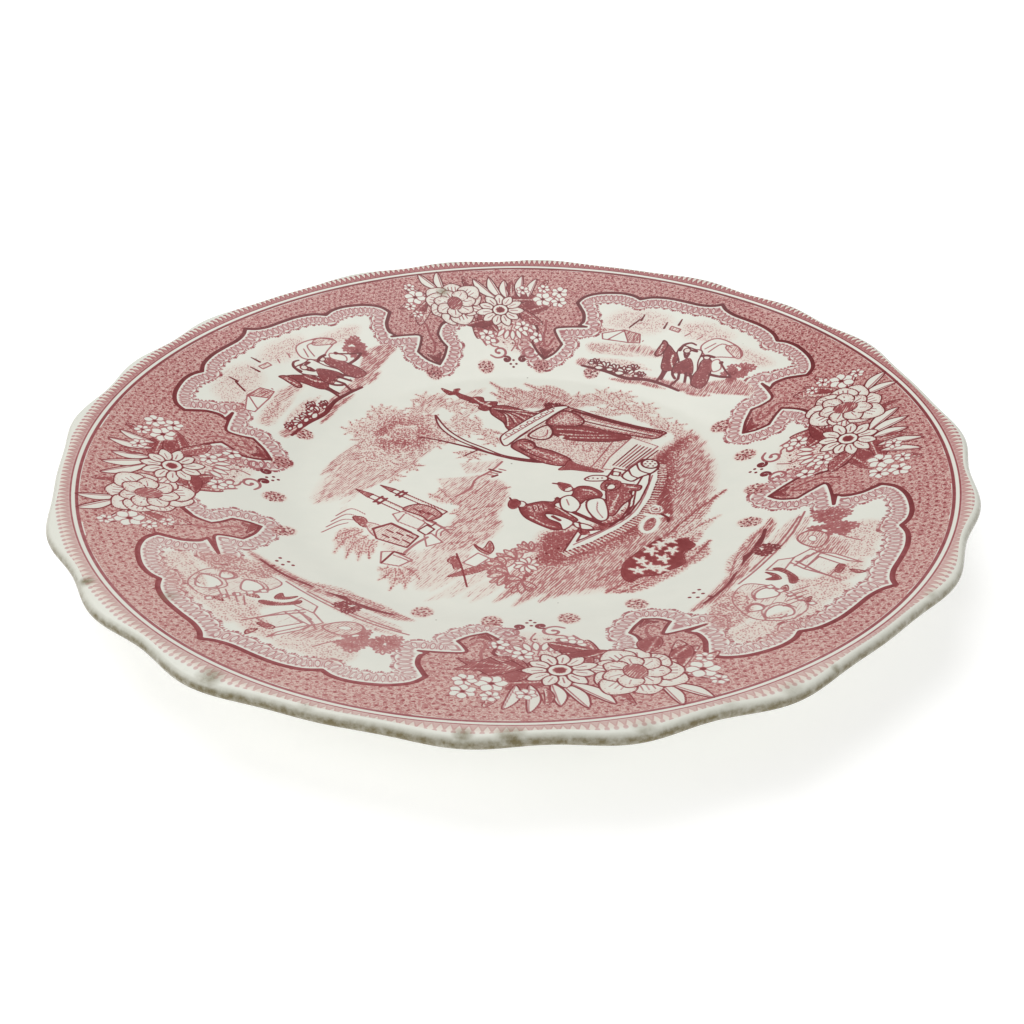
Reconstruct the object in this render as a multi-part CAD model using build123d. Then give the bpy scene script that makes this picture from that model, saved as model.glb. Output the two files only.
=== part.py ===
from build123d import *

import math
import os

# Round transfer-printed dinner plate with a lobed lip: fired clay body, printed ink
# sections sunk in its upper face, and the glaze coats over everything but the foot's
# bearing face. Millimetres, +Z up, origin at the centre of the foot's resting plane.

os.makedirs("parts", exist_ok=True)

# driving dimensions of the finished (glazed) plate
LIP_RADIUS = 132.3  # mean radius of the lobed outline
LOBE_SIX = 0.43  # outline ripple, six to the turn
LOBE_TWELVE = -0.64  # twelve to the turn
LOBE_EIGHTEEN = 0.70  # eighteen to the turn
LOBE_TWENTYFOUR = 0.62  # twenty-four to the turn
LOBE_PHASE = 41.0  # degrees from +X to the middle of a group of three lobes
LIP_ROUND = 1.5  # radius worked on the lip's upper and lower corners
GLAZE = 0.30  # glaze thickness
INK = 0.12  # depth of the inked layer in the clay's face, deeper than life so that it meshes
FOOT_OUTER = 75.0
FOOT_INNER = 69.5
FOOT_HEIGHT = 2.0  # from the table up to the underside at the foot
BEARING_INNER = 71.2  # flat bearing face of the foot, left unglazed
BEARING_OUTER = 73.2
BLANK_RADIUS = 138.0  # turned blank, cut back to the lobed outline
RIM_FLAT = 129.1  # the lip is level outside this radius

# ink sections on the upper face
CENTRE_RADIUS = 66.0
BORDER_INNER = 67.0
BORDER_OUTER = 123.3
BAND_INNER = 124.0
BAND_OUTER = 128.5
# where the border sections meet, degrees from +X: a vignette section, then a spray section
JOINTS = [27.0, 78.75, 114.0, 165.75, 208.5, 258.0, 297.0, 343.5]
BORDER_NAMES = [
    "vignette_print_back_right",
    "spray_print_back",
    "vignette_print_back_left",
    "spray_print_left",
    "vignette_print_front_left",
    "spray_print_front",
    "vignette_print_front_right",
    "spray_print_right",
]

# upper face of the glazed plate: radius, height
UPPER = [
    (0.0, 5.3),
    (30.0, 5.3),
    (55.0, 5.35),
    (66.0, 6.2),
    (76.0, 8.9),
    (90.0, 13.2),
    (105.0, 17.6),
    (118.0, 21.2),
    (124.0, 23.0),
    (127.5, 24.15),
    (RIM_FLAT, 24.6),
]
# underside from the lip in to the foot: radius, height
LOWER = [
    (126.5, 20.9),
    (120.0, 18.3),
    (105.0, 13.2),
    (90.0, 8.6),
    (80.0, 4.6),
    (FOOT_OUTER, FOOT_HEIGHT + 0.3),
]
RUN_STEP = 7.0  # spacing of the points along one run of the upper profile


def lip_radius(angle, inset):
    """Lobed outline radius at an angle in radians, moved in by inset."""
    phase = angle - math.radians(LOBE_PHASE)
    ripple = LOBE_SIX * math.cos(6 * phase) + LOBE_TWELVE * math.cos(12 * phase)
    ripple += LOBE_EIGHTEEN * math.cos(18 * phase) + LOBE_TWENTYFOUR * math.cos(24 * phase)
    return LIP_RADIUS + ripple - inset


def upper_slope(i):
    """Slope of the upper face at its i-th given point."""
    if i == 0 or i == len(UPPER) - 1:
        return 0.0
    before = UPPER[i - 1]
    after = UPPER[i + 1]
    return (after[1] - before[1]) / (after[0] - before[0])


def upper_height(radius):
    """Height and slope of the glazed upper face, by cubic runs between the given points."""
    i = 0
    while i < len(UPPER) - 2 and radius > UPPER[i + 1][0]:
        i += 1
    (r0, z0), (r1, z1) = UPPER[i], UPPER[i + 1]
    span = r1 - r0
    t = (radius - r0) / span
    m0 = upper_slope(i) * span
    m1 = upper_slope(i + 1) * span
    height = z0 * (2 * t**3 - 3 * t**2 + 1) + m0 * (t**3 - 2 * t**2 + t)
    height += z1 * (3 * t**2 - 2 * t**3) + m1 * (t**3 - t**2)
    slope = z0 * (6 * t**2 - 6 * t) + m0 * (3 * t**2 - 4 * t + 1)
    slope += z1 * (6 * t - 6 * t**2) + m1 * (3 * t**2 - 2 * t)
    return height, slope / span


def upper_point(radius, depth):
    """Point straight below the upper face, by depth measured square to it."""
    height, slope = upper_height(radius)
    return Vector(radius, 0, height - depth * math.hypot(1.0, slope))


def upper_run(start, end, depth):
    """Smooth run of the upper profile from one radius to another at a depth."""
    count = max(2, round((end - start) / RUN_STEP))
    radii = [start + (end - start) * i / count for i in range(count + 1)]
    slopes = [upper_height(r)[1] for r in (start, end)]
    return Spline(*[upper_point(r, depth) for r in radii], tangents=[(1, 0, s) for s in slopes])


def line(start, end):
    return Edge.make_line(Vector(start), Vector(end))


def upper_chain(depth, recess):
    """Upper profile from the axis to the blank's edge, sunk by recess under each ink section."""
    stops = [0.0, CENTRE_RADIUS, BORDER_INNER, BORDER_OUTER, BAND_INNER, BAND_OUTER, RIM_FLAT]
    edges = []
    for i, (start, end) in enumerate(zip(stops, stops[1:])):
        inked = i % 2 == 0 and i < 5
        edges.append(upper_run(start, end, depth + recess if inked else depth))
        if recess and i < 5:
            shallow = upper_point(end, depth)
            deep = upper_point(end, depth + recess)
            edges.append(line(deep, shallow) if inked else line(shallow, deep))
    return edges


def turned_blank(inset, recess):
    """Solid of revolution between the upper face and the underside, with the foot ring."""
    edges = upper_chain(inset, recess)
    lower = [Vector(r, 0, z + inset) for r, z in LOWER[:-1]]
    lower.append(Vector(FOOT_OUTER - inset, 0, LOWER[-1][1]))
    flat = upper_point(RIM_FLAT, inset).Z
    edges.append(line(upper_point(RIM_FLAT, inset), (BLANK_RADIUS, 0, flat)))
    edges.append(line((BLANK_RADIUS, 0, flat), (BLANK_RADIUS, 0, lower[0].Z)))
    edges.append(line((BLANK_RADIUS, 0, lower[0].Z), lower[0]))
    edges.append(Spline(*lower))
    base = FOOT_HEIGHT + inset
    foot = [
        lower[-1],
        Vector(FOOT_OUTER - inset, 0, 0.9),
        Vector(BEARING_OUTER, 0, 0),
        Vector(BEARING_INNER, 0, 0),
        Vector(FOOT_INNER + inset, 0, 0.9),
        Vector(FOOT_INNER - 0.8, 0, base),
        Vector(0, 0, base),
        upper_point(0.0, inset + recess),
    ]
    edges += [line(*pair) for pair in zip(foot, foot[1:])]
    return revolve(Face(Wire(edges)), Axis.Z, 360)


def lobed_prism(inset):
    """Upright prism with the lobed outline, tall enough to trim the blank."""
    count = 96
    points = []
    for i in range(count):
        angle = 2 * math.pi * i / count
        radius = lip_radius(angle, inset)
        points.append(Vector(radius * math.cos(angle), radius * math.sin(angle), -5))
    outline = Wire([Edge.make_spline(points, periodic=True)])
    return extrude(Face(outline), 45, dir=(0, 0, 1))


def plate_shape(inset, recess):
    """The plate trimmed to its lobed outline with both corners of the lip rounded."""
    trimmed = turned_blank(inset, recess) & lobed_prism(inset)
    corners = [e for e in trimmed.edges() if e.length > 822 and e.bounding_box().min.Z > 17]
    return fillet(corners, LIP_ROUND - inset).solids()[0]


def ink_layer(start, end, turn, sweep):
    """Inked layer that fills the recess between two radii, over a sweep of angle."""
    edges = [upper_run(start, end, GLAZE + INK)]
    edges.append(line(upper_point(end, GLAZE + INK), upper_point(end, GLAZE)))
    edges.append(upper_run(start, end, GLAZE))
    edges.append(line(upper_point(start, GLAZE + INK), upper_point(start, GLAZE)))
    section = Face(Wire(edges)).rotate(Axis.Z, turn)
    return revolve(section, Axis.Z, sweep)


def bearing_face(shape):
    """The flat ring that the foot stands on."""
    return min(shape.faces(), key=lambda f: f.center().Z + (0 if f.area < 2000 else 5))


def glaze_coats():
    """Skins between the glazed outside and the clay: one over the top and rim, one within the foot."""
    outside = plate_shape(0.0, 0.0)
    inside = plate_shape(GLAZE, 0.0)
    skip_out = bearing_face(outside)
    skip_in = bearing_face(inside)
    outer = [f for f in outside.faces() if not f.is_same(skip_out)]
    inner = [-f for f in inside.faces() if not f.is_same(skip_in)]
    within = (FOOT_INNER + BEARING_INNER) / 2 + 1.5
    base = [f for f in outer + inner if under_foot(f, within)]
    top = [f for f in outer + inner if not under_foot(f, within)]
    return closed_skin(top), closed_skin(base)


def under_foot(face, radius):
    """True for a face of the hollow inside the foot ring."""
    box = face.bounding_box()
    return box.max.X < radius and box.max.Z < FOOT_HEIGHT + 2 * GLAZE


def closed_skin(faces):
    skin = Solid(Shell(faces))
    return skin if skin.volume > 0 else Solid(-Shell(faces))


def build_parts():
    parts = {"clay_body": plate_shape(GLAZE, INK)}
    parts["glaze_coat"], parts["base_glaze"] = glaze_coats()
    parts["centre_print"] = ink_layer(0.0, CENTRE_RADIUS, 0, 360)
    for i, name in enumerate(BORDER_NAMES):
        sweep = (JOINTS[(i + 1) % len(JOINTS)] - JOINTS[i]) % 360
        parts[name] = ink_layer(BORDER_INNER, BORDER_OUTER, JOINTS[i], sweep)
    parts["edge_band_print"] = ink_layer(BAND_INNER, BAND_OUTER, 0, 360)
    return parts


if __name__ == "__main__":
    for node, shape in build_parts().items():
        solids = shape.solids()
        print(node, len(solids), round(sum(s.volume for s in solids), 1), shape.bounding_box())
        export_step(solids[0], f"parts/{node}.step")
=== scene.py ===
import math

import bpy
import numpy as np
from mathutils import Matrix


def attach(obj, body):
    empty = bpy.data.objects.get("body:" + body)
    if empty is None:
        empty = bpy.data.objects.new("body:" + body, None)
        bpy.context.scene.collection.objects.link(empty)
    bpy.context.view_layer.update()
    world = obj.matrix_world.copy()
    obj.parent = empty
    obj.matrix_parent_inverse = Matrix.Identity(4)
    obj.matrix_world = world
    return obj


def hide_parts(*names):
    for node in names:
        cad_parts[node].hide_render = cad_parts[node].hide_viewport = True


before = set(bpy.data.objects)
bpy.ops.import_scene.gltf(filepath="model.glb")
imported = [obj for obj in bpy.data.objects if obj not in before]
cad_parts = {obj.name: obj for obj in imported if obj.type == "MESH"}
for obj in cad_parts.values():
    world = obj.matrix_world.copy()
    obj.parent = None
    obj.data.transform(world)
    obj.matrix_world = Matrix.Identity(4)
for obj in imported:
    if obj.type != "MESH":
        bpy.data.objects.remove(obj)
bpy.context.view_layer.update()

mm = 0.001  # shapes below are in millimetres, Blender is in metres

# profile and meshes
plate = {
    "upper": [(0, 5.3), (30, 5.3), (55, 5.35), (66, 6.2), (76, 8.9), (90, 13.2), (105, 17.6),
              (118, 21.2), (124, 23.0), (127.5, 24.15), (129.1, 24.6)],  # radius, height
    "lower": [(126.5, 20.9), (120, 18.3), (105, 13.2), (90, 8.6), (80, 4.6), (75, 2.3)],
    "lip": 131.7,  # mean radius of the lobed outline
    "lobes": ((6, 0.43), (12, -0.64), (18, 0.70), (24, 0.62)),
    "lobePhase": 41.0,
    "lipThick": 3.7,
    "sectors": 1920,
    "ringStep": 0.42,
    "coarse": 8,
    "skin": 0.3,  # thickness of a printed piece
    "centre": 66.5,
    "border": 123.65,
    "margin": 1.9,  # from the printed face's edge to the lip's outline
    "joints": [27.0, 78.75, 114.0, 165.75, 208.5, 258.0, 297.0, 343.5],
}


def hermite(points, r, startSlope=0.0, endSlope=0.0):
    xs = np.array([p[0] for p in points], float)
    zs = np.array([p[1] for p in points], float)
    slope = np.empty_like(zs)
    slope[1:-1] = (zs[2:] - zs[:-2]) / (xs[2:] - xs[:-2])
    slope[0], slope[-1] = startSlope, endSlope
    i = np.clip(np.searchsorted(xs, r, side="right") - 1, 0, len(xs) - 2)
    span = xs[i + 1] - xs[i]
    t = np.clip((r - xs[i]) / span, 0, 1)
    return (zs[i] * (2 * t**3 - 3 * t**2 + 1) + slope[i] * span * (t**3 - 2 * t**2 + t)
            + zs[i + 1] * (3 * t**2 - 2 * t**3) + slope[i + 1] * span * (t**3 - t**2))


def upperHeight(r):
    return hermite(plate["upper"], r)


def lipRadius(a):
    phase = a - math.radians(plate["lobePhase"])
    r = np.full_like(a, plate["lip"])
    for times, size in plate["lobes"]:
        r = r + size * np.cos(times * phase)
    return r - 0.8 * np.cos(a) - 1.1 * np.exp(-(((a - math.radians(263)) / 0.14) ** 2))


def polarGrid(radii, first, count, sectors):
    # points of a polar grid: rows are rings, columns are sector edges
    a = (np.arange(count) + first) * 2 * math.pi / sectors
    return np.repeat(np.array(radii)[:, None], count, 1), np.repeat(a[None, :], len(radii), 0)


def gridFaces(rows, cols, closed, start=0):
    i, j = np.meshgrid(np.arange(rows - 1), np.arange(cols if closed else cols - 1), indexing="ij")
    nxt = (j + 1) % cols
    return (start + np.stack([i * cols + j, (i + 1) * cols + j, (i + 1) * cols + nxt, i * cols + nxt],
        -1)).reshape(-1, 4)


def undersidePoints(rows, cols, closed):  # every eighth ring and sector of a grid piece
    i = np.unique(np.append(np.arange(0, rows, plate["coarse"]), rows - 1))
    j = np.arange(0, cols, plate["coarse"])
    j = j if closed else np.unique(np.append(j, cols - 1))
    return i, j


def closeGrid(x, y, rows, cols, closed):  # coarse underside below a grid piece, and walls that join the two
    ri, ci = undersidePoints(rows, cols, closed)
    top = (ri[:, None] * cols + ci[None, :]).ravel()
    base, m = len(x), len(ci)
    faces = []
    for i in range(len(ri) - 1):
        for j in range(m if closed else m - 1):
            k = (j + 1) % m
            faces.append([base + i * m + j, base + i * m + k, base + (i + 1) * m + k, base + (i + 1) * m + j])
    for j in range(m if closed else m - 1):
        k = (j + 1) % m
        run = [c % cols for c in range(ci[j], (ci[k] if k > j else cols) + 1)]
        faces.append(run + [base + k, base + j])
        last, low = (rows - 1) * cols, base + (len(ri) - 1) * m
        faces.append([last + c for c in run[::-1]] + [low + j, low + k])
    for i in range(0 if closed else len(ri) - 1):
        run = list(range(ri[i], ri[i + 1] + 1))
        faces.append([r * cols for r in run[::-1]] + [base + i * m, base + (i + 1) * m])
        faces.append([r * cols + cols - 1 for r in run] + [base + (i + 1) * m + m - 1, base + i * m + m - 1])
    return x[top], y[top], faces


def closeDisc(count, base):  # the same below the disc, whose outermost ring comes first
    radii, step = (plate["centre"], 63.0, 60.0, 57.0, 53.0, 46.0, 32.0, 18.0), plate["coarse"]
    m = count // step
    a = np.arange(m) * 2 * math.pi / m
    faces = []
    for j in range(m):
        k = (j + 1) % m
        faces.append([c % count for c in range(j * step, (j + 1) * step + 1)][::-1] + [base + j, base + k])
        for i in range(len(radii) - 1):
            faces.append([base + i * m + k, base + i * m + j, base + (i + 1) * m + j, base + (i + 1) * m + k])
    faces.append([base + (len(radii) - 1) * m + j for j in range(m)][::-1])
    return np.outer(radii, np.cos(a)).ravel(), np.outer(radii, np.sin(a)).ravel(), faces


def makeMesh(name, verts, quads, others=(), walls=()):
    # mesh from millimetre points, a quad array and lists of other faces, smooth and flat
    mesh = bpy.data.meshes.new(name)
    mesh.vertices.add(len(verts))
    mesh.vertices.foreach_set("co", (np.asarray(verts, np.float32) * mm).ravel())
    loops = [np.array(f) for f in walls] + [quads.ravel()] + [np.array(f) for f in others]
    loops = np.concatenate(loops).astype(np.int32)
    sizes = np.concatenate([[len(f) for f in walls], np.full(len(quads), 4),
        [len(f) for f in others]]).astype(np.int32)
    mesh.loops.add(len(loops))
    mesh.loops.foreach_set("vertex_index", loops)
    mesh.polygons.add(len(sizes))
    starts = np.concatenate([[0], np.cumsum(sizes)[:-1]]).astype(np.int32)
    mesh.polygons.foreach_set("loop_start", starts)
    mesh.polygons.foreach_set("use_smooth", np.arange(len(sizes)) >= len(walls))
    mesh.update(calc_edges=True)
    mesh.validate()
    ob = bpy.data.objects.new(name, mesh)
    bpy.context.collection.objects.link(ob)
    return ob


def centreDisc():
    # disc whose sector count halves towards the middle, so its faces stay about square
    step, sectors = plate["ringStep"] * 1.1, plate["sectors"] // 2
    outer = plate["centre"]
    zones = []
    while sectors >= 60:
        inner = outer / 2 if sectors > 60 else 1.2
        zones.append((outer, inner, sectors))
        outer, sectors = inner, sectors // 2
    xs, ys, quads, others, base, last = [], [], [], [], 0, None
    # the outermost ring has the border's full sector count, so the two pieces share every point
    full = plate["sectors"]
    a = np.arange(full) * 2 * math.pi / full
    xs.append(plate["centre"] * np.cos(a))
    ys.append(plate["centre"] * np.sin(a))
    last, lastCount, base = 0, full, full
    for outer, inner, sectors in zones:
        rows = max(2, int(round((outer - inner) / step)))
        radii = np.linspace(outer, inner, rows + 1)[1:]
        r, ang = polarGrid(radii, 0, sectors, sectors)
        xs.append((r * np.cos(ang)).ravel())
        ys.append((r * np.sin(ang)).ravel())
        ratio = lastCount // sectors
        for i in range(sectors):
            if ratio == 2:
                others.append([last + 2 * i, last + 2 * i + 1, last + (2 * i + 2) % lastCount,
                               base + (i + 1) % sectors, base + i])
            else:
                others.append([last + i, last + (i + 1) % lastCount, base + (i + 1) % sectors, base + i])
        quads.append(gridFaces(len(radii), sectors, True, base)[:, ::-1])
        last, lastCount = base + (len(radii) - 1) * sectors, sectors
        base += len(radii) * sectors
    others.append([last + i for i in range(lastCount)])
    x, y = np.concatenate(xs), np.concatenate(ys)
    return x, y, np.concatenate(quads), others


pieces = []  # (name, x, y, quads, others)
x, y, quads, others = centreDisc()
pieces.append(("centrePrint", "centre_print", x, y, quads, others, closeDisc(plate["sectors"], len(x))))
full = plate["sectors"]
borderNames = ["vignette_print_back_right", "spray_print_back", "vignette_print_back_left",
    "spray_print_left",
               "vignette_print_front_left", "spray_print_front", "vignette_print_front_right",
               "spray_print_right"]
rows = int((plate["border"] - plate["centre"]) / plate["ringStep"])
for k, node in enumerate(borderNames):
    first = round(plate["joints"][k] * full / 360)
    end = round(plate["joints"][(k + 1) % 8] * full / 360)
    count = (end - first) % full + 1
    r, a = polarGrid(np.linspace(plate["centre"], plate["border"], rows), first, count, full)
    words = node.split("_")
    name = words[0] + "".join(w.capitalize() for w in words[1:])
    x, y = (r * np.cos(a)).ravel(), (r * np.sin(a)).ravel()
    pieces.append((name, node, x, y, gridFaces(rows, count, False), [], closeGrid(x, y, rows, count, False)))
r, a = polarGrid(np.linspace(0, 1, 20), 0, full, full)
r = plate["border"] + r * (lipRadius(a) - plate["margin"] - plate["border"])
x, y = (r * np.cos(a)).ravel(), (r * np.sin(a)).ravel()
pieces.append(("edgeBandPrint", "edge_band_print", x, y, gridFaces(20, full, True), [],
    closeGrid(x, y, 20, full, True)))
print("plate surface points", sum(len(p[2]) for p in pieces))

# the printed drawing
ramp = 0.8  # millimetres over which a line's edge runs from 0 to 1, cut sharp again in the shader


def smooth(points, closed=False, parts=6):
    # rounds a run of points with a Catmull-Rom curve
    p = np.array(points, float)
    n = len(p)
    if n < 3:
        return p
    out = []
    for i in range(n if closed else n - 1):
        p0 = p[(i - 1) % n] if closed or i > 0 else p[0]
        p1, p2 = p[i], p[(i + 1) % n]
        p3 = p[(i + 2) % n] if closed or i < n - 2 else p[-1]
        t = (np.arange(parts) / parts)[:, None]
        out.append(0.5 * (2 * p1 + (p2 - p0) * t + (2 * p0 - 5 * p1 + 4 * p2 - p3) * t**2
                          + (3 * p1 - p0 - 3 * p2 + p3) * t**3))
    if not closed:
        out.append(p[-1:])
    return np.concatenate(out)


def lineDistance(x, y, pts, closed=False):
    # least distance to a run of points, and how far along the run that is
    a = pts if closed else pts[:-1]
    b = np.roll(pts, -1, 0) if closed else pts[1:]
    best = np.full(x.shape, 1e9)
    along = np.zeros(x.shape)
    start = 0.0
    for (ax, ay), (bx, by) in zip(a, b):
        dx, dy = bx - ax, by - ay
        length = math.hypot(dx, dy)
        if length < 1e-9:
            continue
        t = np.clip(((x - ax) * dx + (y - ay) * dy) / length**2, 0, 1)
        d = np.hypot(x - ax - t * dx, y - ay - t * dy)
        near = d < best
        best = np.where(near, d, best)
        along = np.where(near, start + t * length, along)
        start += length
    return best, along


def inside(x, y, pts):
    odd = np.zeros(x.shape, bool)
    bx, by = np.roll(pts[:, 0], -1), np.roll(pts[:, 1], -1)
    for ax, ay, cx, cy in zip(pts[:, 0], pts[:, 1], bx, by):
        if ay == cy:
            continue
        cross = ((ay > y) != (cy > y)) & (x < (cx - ax) * (y - ay) / (cy - ay) + ax)
        odd ^= cross
    return odd


class Sheet:  # ink values at every point of the upper face, drawn over one another like a painting

    def __init__(self, x, y):
        self.x, self.y = x, y
        self.ink = {k: np.zeros(len(x)) for k in ("dark", "light", "tone", "hatch", "ground", "lace", "run",
            "open")}
        self.ink["open"] += 1
        self.cell, self.cells = 4.0, 70
        at = (np.floor((y + 140) / self.cell) * self.cells + np.floor((x + 140) / self.cell)).astype(int)
        self.order = np.argsort(at, kind="stable")
        self.first = np.searchsorted(at[self.order], np.arange(self.cells**2 + 1))
        self.place()

    def place(self, turn=0.0, at=(0, 0), size=1.0, flip=1):  # where the next shapes go
        t = math.radians(turn)
        self.frame = (math.cos(t) * size, math.sin(t) * size, at, flip)
        self.size = size

    def put(self, points):
        p = np.array(points, float)
        c, s, (ax, ay), flip = self.frame
        px, py = p[:, 0], p[:, 1] * flip
        return np.stack([c * px - s * py + ax, s * px + c * py + ay], -1)

    def near(self, pts, margin):
        low, high = pts.min(0) - margin, pts.max(0) + margin
        lo = np.clip(np.floor((low + 140) / self.cell), 0, self.cells - 1).astype(int)
        hi = np.clip(np.floor((high + 140) / self.cell), 0, self.cells - 1).astype(int)
        rows = [self.order[self.first[j * self.cells + lo[0]]:self.first[j * self.cells + hi[0] + 1]]
                for j in range(lo[1], hi[1] + 1)]
        i = np.concatenate(rows)
        x, y = self.x[i], self.y[i]
        return i[(x > low[0]) & (x < high[0]) & (y > low[1]) & (y < high[1])]

    def fill(self, points, tone=0.0, hatch=None, edge=0.0, ink="dark", curve=True, clear=True, soft=ramp,
            inner=0.0):
        pts = self.put(points)
        if curve:
            pts = smooth(pts, True, 5)
        i = self.near(pts, soft + edge)
        if not len(i):
            return
        x, y = self.x[i], self.y[i]
        d = lineDistance(x, y, pts, True)[0]
        sd = np.where(inside(x, y, pts), -d, d)
        cover = np.clip(0.5 - sd / soft, 0, 1)
        k = self.ink
        if clear:
            for key in ("dark", "light", "ground", "open"):
                k[key][i] = np.minimum(k[key][i], 1 - cover)
        shade = tone + inner * np.clip(1 + sd / 2.5, 0, 1)  # inner darkens the rim
        k["tone"][i] += (shade - k["tone"][i]) * cover
        if hatch is not None:
            k["hatch"][i] = np.where(cover > 0.3, hatch, k["hatch"][i])
        if edge:
            k[ink][i] = np.maximum(k[ink][i], np.clip(0.5 + (edge / 2 - d) / ramp, 0, 1))

    def shade(self, points, tone, hatch=None, soft=2.0, lower=False):  # tone laid over what's there
        pts = smooth(self.put(points), True, 5)
        i = self.near(pts, soft)
        if not len(i):
            return
        x, y = self.x[i], self.y[i]
        d = lineDistance(x, y, pts, True)[0]
        cover = np.clip(0.5 - np.where(inside(x, y, pts), -d, d) / soft, 0, 1)
        old = self.ink["tone"][i]
        self.ink["tone"][i] = old + (tone - old) * cover if lower else np.maximum(old, tone * cover)
        if hatch is not None:
            self.ink["hatch"][i] = np.where(cover > 0.15, hatch, self.ink["hatch"][i])

    def stroke(self, points, width=0.5, ink="dark", curve=True, taper=0.0, bulge=0.0, strength=1.0):
        pts = self.put(points)
        if curve:
            pts = smooth(pts, False, 4)
        i = self.near(pts, width / 2 + ramp)
        if not len(i):
            return
        d, along = lineDistance(self.x[i], self.y[i], pts)
        t = along / max(np.hypot(*np.diff(pts, axis=0).T).sum(), 1e-6)
        half = width / 2 * (1 - taper * t) * (1 + bulge * np.sin(np.pi * t))
        value = np.clip(0.5 + (half - d) / ramp, 0, 1) * strength
        if ink == "none":
            for key in ("dark", "light", "tone", "ground", "open"):
                self.ink[key][i] = np.minimum(self.ink[key][i], 1 - value)
        else:
            self.ink[ink][i] = np.maximum(self.ink[ink][i], value)

    def dot(self, at, size, ink="dark"):
        self.stroke([at, (at[0] + 0.01, at[1])], size, ink, curve=False)


allX = np.concatenate([p[2] for p in pieces])
allY = np.concatenate([p[3] for p in pieces])
sheet = Sheet(allX, allY)

# the ground's inner edge as radius and degrees: beside a spray, round a spearhead, along a vignette frame
printed = {
    "sprays": [  # axis, flowers' turn, then lean and reach of the spearhead on each side
        {"axis": 2.1, "turn": 0.0, "lean": (0.20, 0.34), "reach": (0, 0)},
        {"axis": 96.2, "turn": 90.4, "lean": (0, 0), "reach": (0, 0)},
        {"axis": 189.5, "turn": 183.0, "lean": (-0.24, 0.12), "reach": (-0.5, 2.2)},
        {"axis": 279.0, "turn": 273.2, "lean": (-0.05, -0.1), "reach": (4.0, 5.5)},
    ],
    "frames": [50.8, 141.9, 232.6, 320.8],
    "underSpray": [(101, 5.0), (98.6, 7.8), (95.5, 10.2), (91.4, 11.6)],
    "spearIn": [(91.4, 11.6), (88, 11.4), (84.4, 10.6)],
    "spearTip": [(84.4, 10.6), (80, 12.1), (76.3, 14.2)],
    "spearOut": [(76.3, 14.2), (79.6, 16.6), (84.2, 18.0)],
    "neck": [(84.2, 18.0), (88, 16.4), (92.0, 15.6), (93.4, 18.5), (94.4, 22.5)],
    "frameFoot": [(94.4, -24.8), (97, -24.0), (101, -24.4), (104, -25.4), (106.8, -26.4)],
    "frameLobe": [(106.8, -26.4), (110.6, -25.2), (113.4, -22.6), (114.9, -19), (114.7, -16.4),
    (113.3, -14.6)],
    "frameArch": [(113.3, -14.6), (115.5, -12.6), (116.7, -9.6), (116.9, -6.4), (117.1, -3.4), (118.4, -1.3),
    (120.4, 0)],
}


def polarRun(run, about, sign, lean=0.0, reach=0.0):
    xy = []
    for r, d in run if sign > 0 else run[::-1]:
        far = max(0, 1 - (r - 76) / 17)
        a = math.radians(about + sign * d + lean * min(r - 76, 18) * max(0, 1 - max(0, r - 92) / 9))
        xy.append(((r + reach * far) * math.cos(a), (r + reach * far) * math.sin(a)))
    return smooth(xy, parts=5)[:-1]


def groundEdge():
    runs = []
    for k in range(4):
        one, frameAt, two = printed["sprays"][k], printed["frames"][k], printed["sprays"][(k + 1) % 4]
        for part in ("underSpray", "spearIn", "spearTip", "spearOut", "neck"):
            runs.append(polarRun(printed[part], one["axis"], 1, one["lean"][1], one["reach"][1]))
        for sign in (1, -1):
            parts = ("frameFoot", "frameLobe", "frameArch")
            for part in parts if sign > 0 else parts[::-1]:
                runs.append(polarRun(printed[part], frameAt, sign))
        for part in ("neck", "spearOut", "spearTip", "spearIn", "underSpray"):
            runs.append(polarRun(printed[part], two["axis"], -1, two["lean"][0], two["reach"][0]))
    return np.concatenate(runs)


def offsetRun(pts, far):  # the line at a distance on the white side, rounded at the points
    seg = np.roll(pts, -1, 0) - pts
    size = np.hypot(seg[:, 0], seg[:, 1])
    pts, seg = pts[size > 1e-6], seg[size > 1e-6] / size[size > 1e-6][:, None]
    normal = np.stack([-seg[:, 1], seg[:, 0]], -1)  # the run goes anticlockwise, so white is on the left
    before = np.roll(normal, 1, 0)
    out = []
    for p, a, b in zip(pts, before, normal):
        turn = math.atan2(a[0] * b[1] - a[1] * b[0], a @ b)
        steps = max(1, int(abs(turn) / 0.35)) if turn < 0 else 1
        for k in range(steps + 1):
            t = turn * k / steps
            out.append(p + far * np.array([a[0] * math.cos(t) - a[1] * math.sin(t),
                a[0] * math.sin(t) + a[1] * math.cos(t)]))
    out = np.array(out)
    clear = lineDistance(out[:, 0], out[:, 1], pts, True)[0]
    return out[clear > far - 0.08]


edgeRun = groundEdge()
radius = np.hypot(sheet.x, sheet.y)
ringPart = np.nonzero((radius > 66) & (radius < 124.5))[0]
d, along = lineDistance(sheet.x[ringPart], sheet.y[ringPart], edgeRun, True)
trimRun = offsetRun(edgeRun, 3.2)
along = lineDistance(sheet.x[ringPart], sheet.y[ringPart], trimRun, True)[1]
white = inside(sheet.x[ringPart], sheet.y[ringPart], edgeRun)
sd = np.where(white, d, -d)  # positive on the white side
sheet.ink["lace"][:] = np.where(radius > 100, -4.0, 12.0)
sheet.ink["ground"][ringPart] = np.clip(0.5 - sd / ramp, 0, 1)
sheet.ink["lace"][ringPart] = np.clip(sd, -4, 12)
sheet.ink["run"][ringPart] = along
thick = np.where(radius[ringPart] > 96, 1.35, 0.95)
sheet.ink["dark"][ringPart] = np.clip(0.5 + (thick / 2 - d) / ramp, 0, 1)
print("border laid out")

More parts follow.
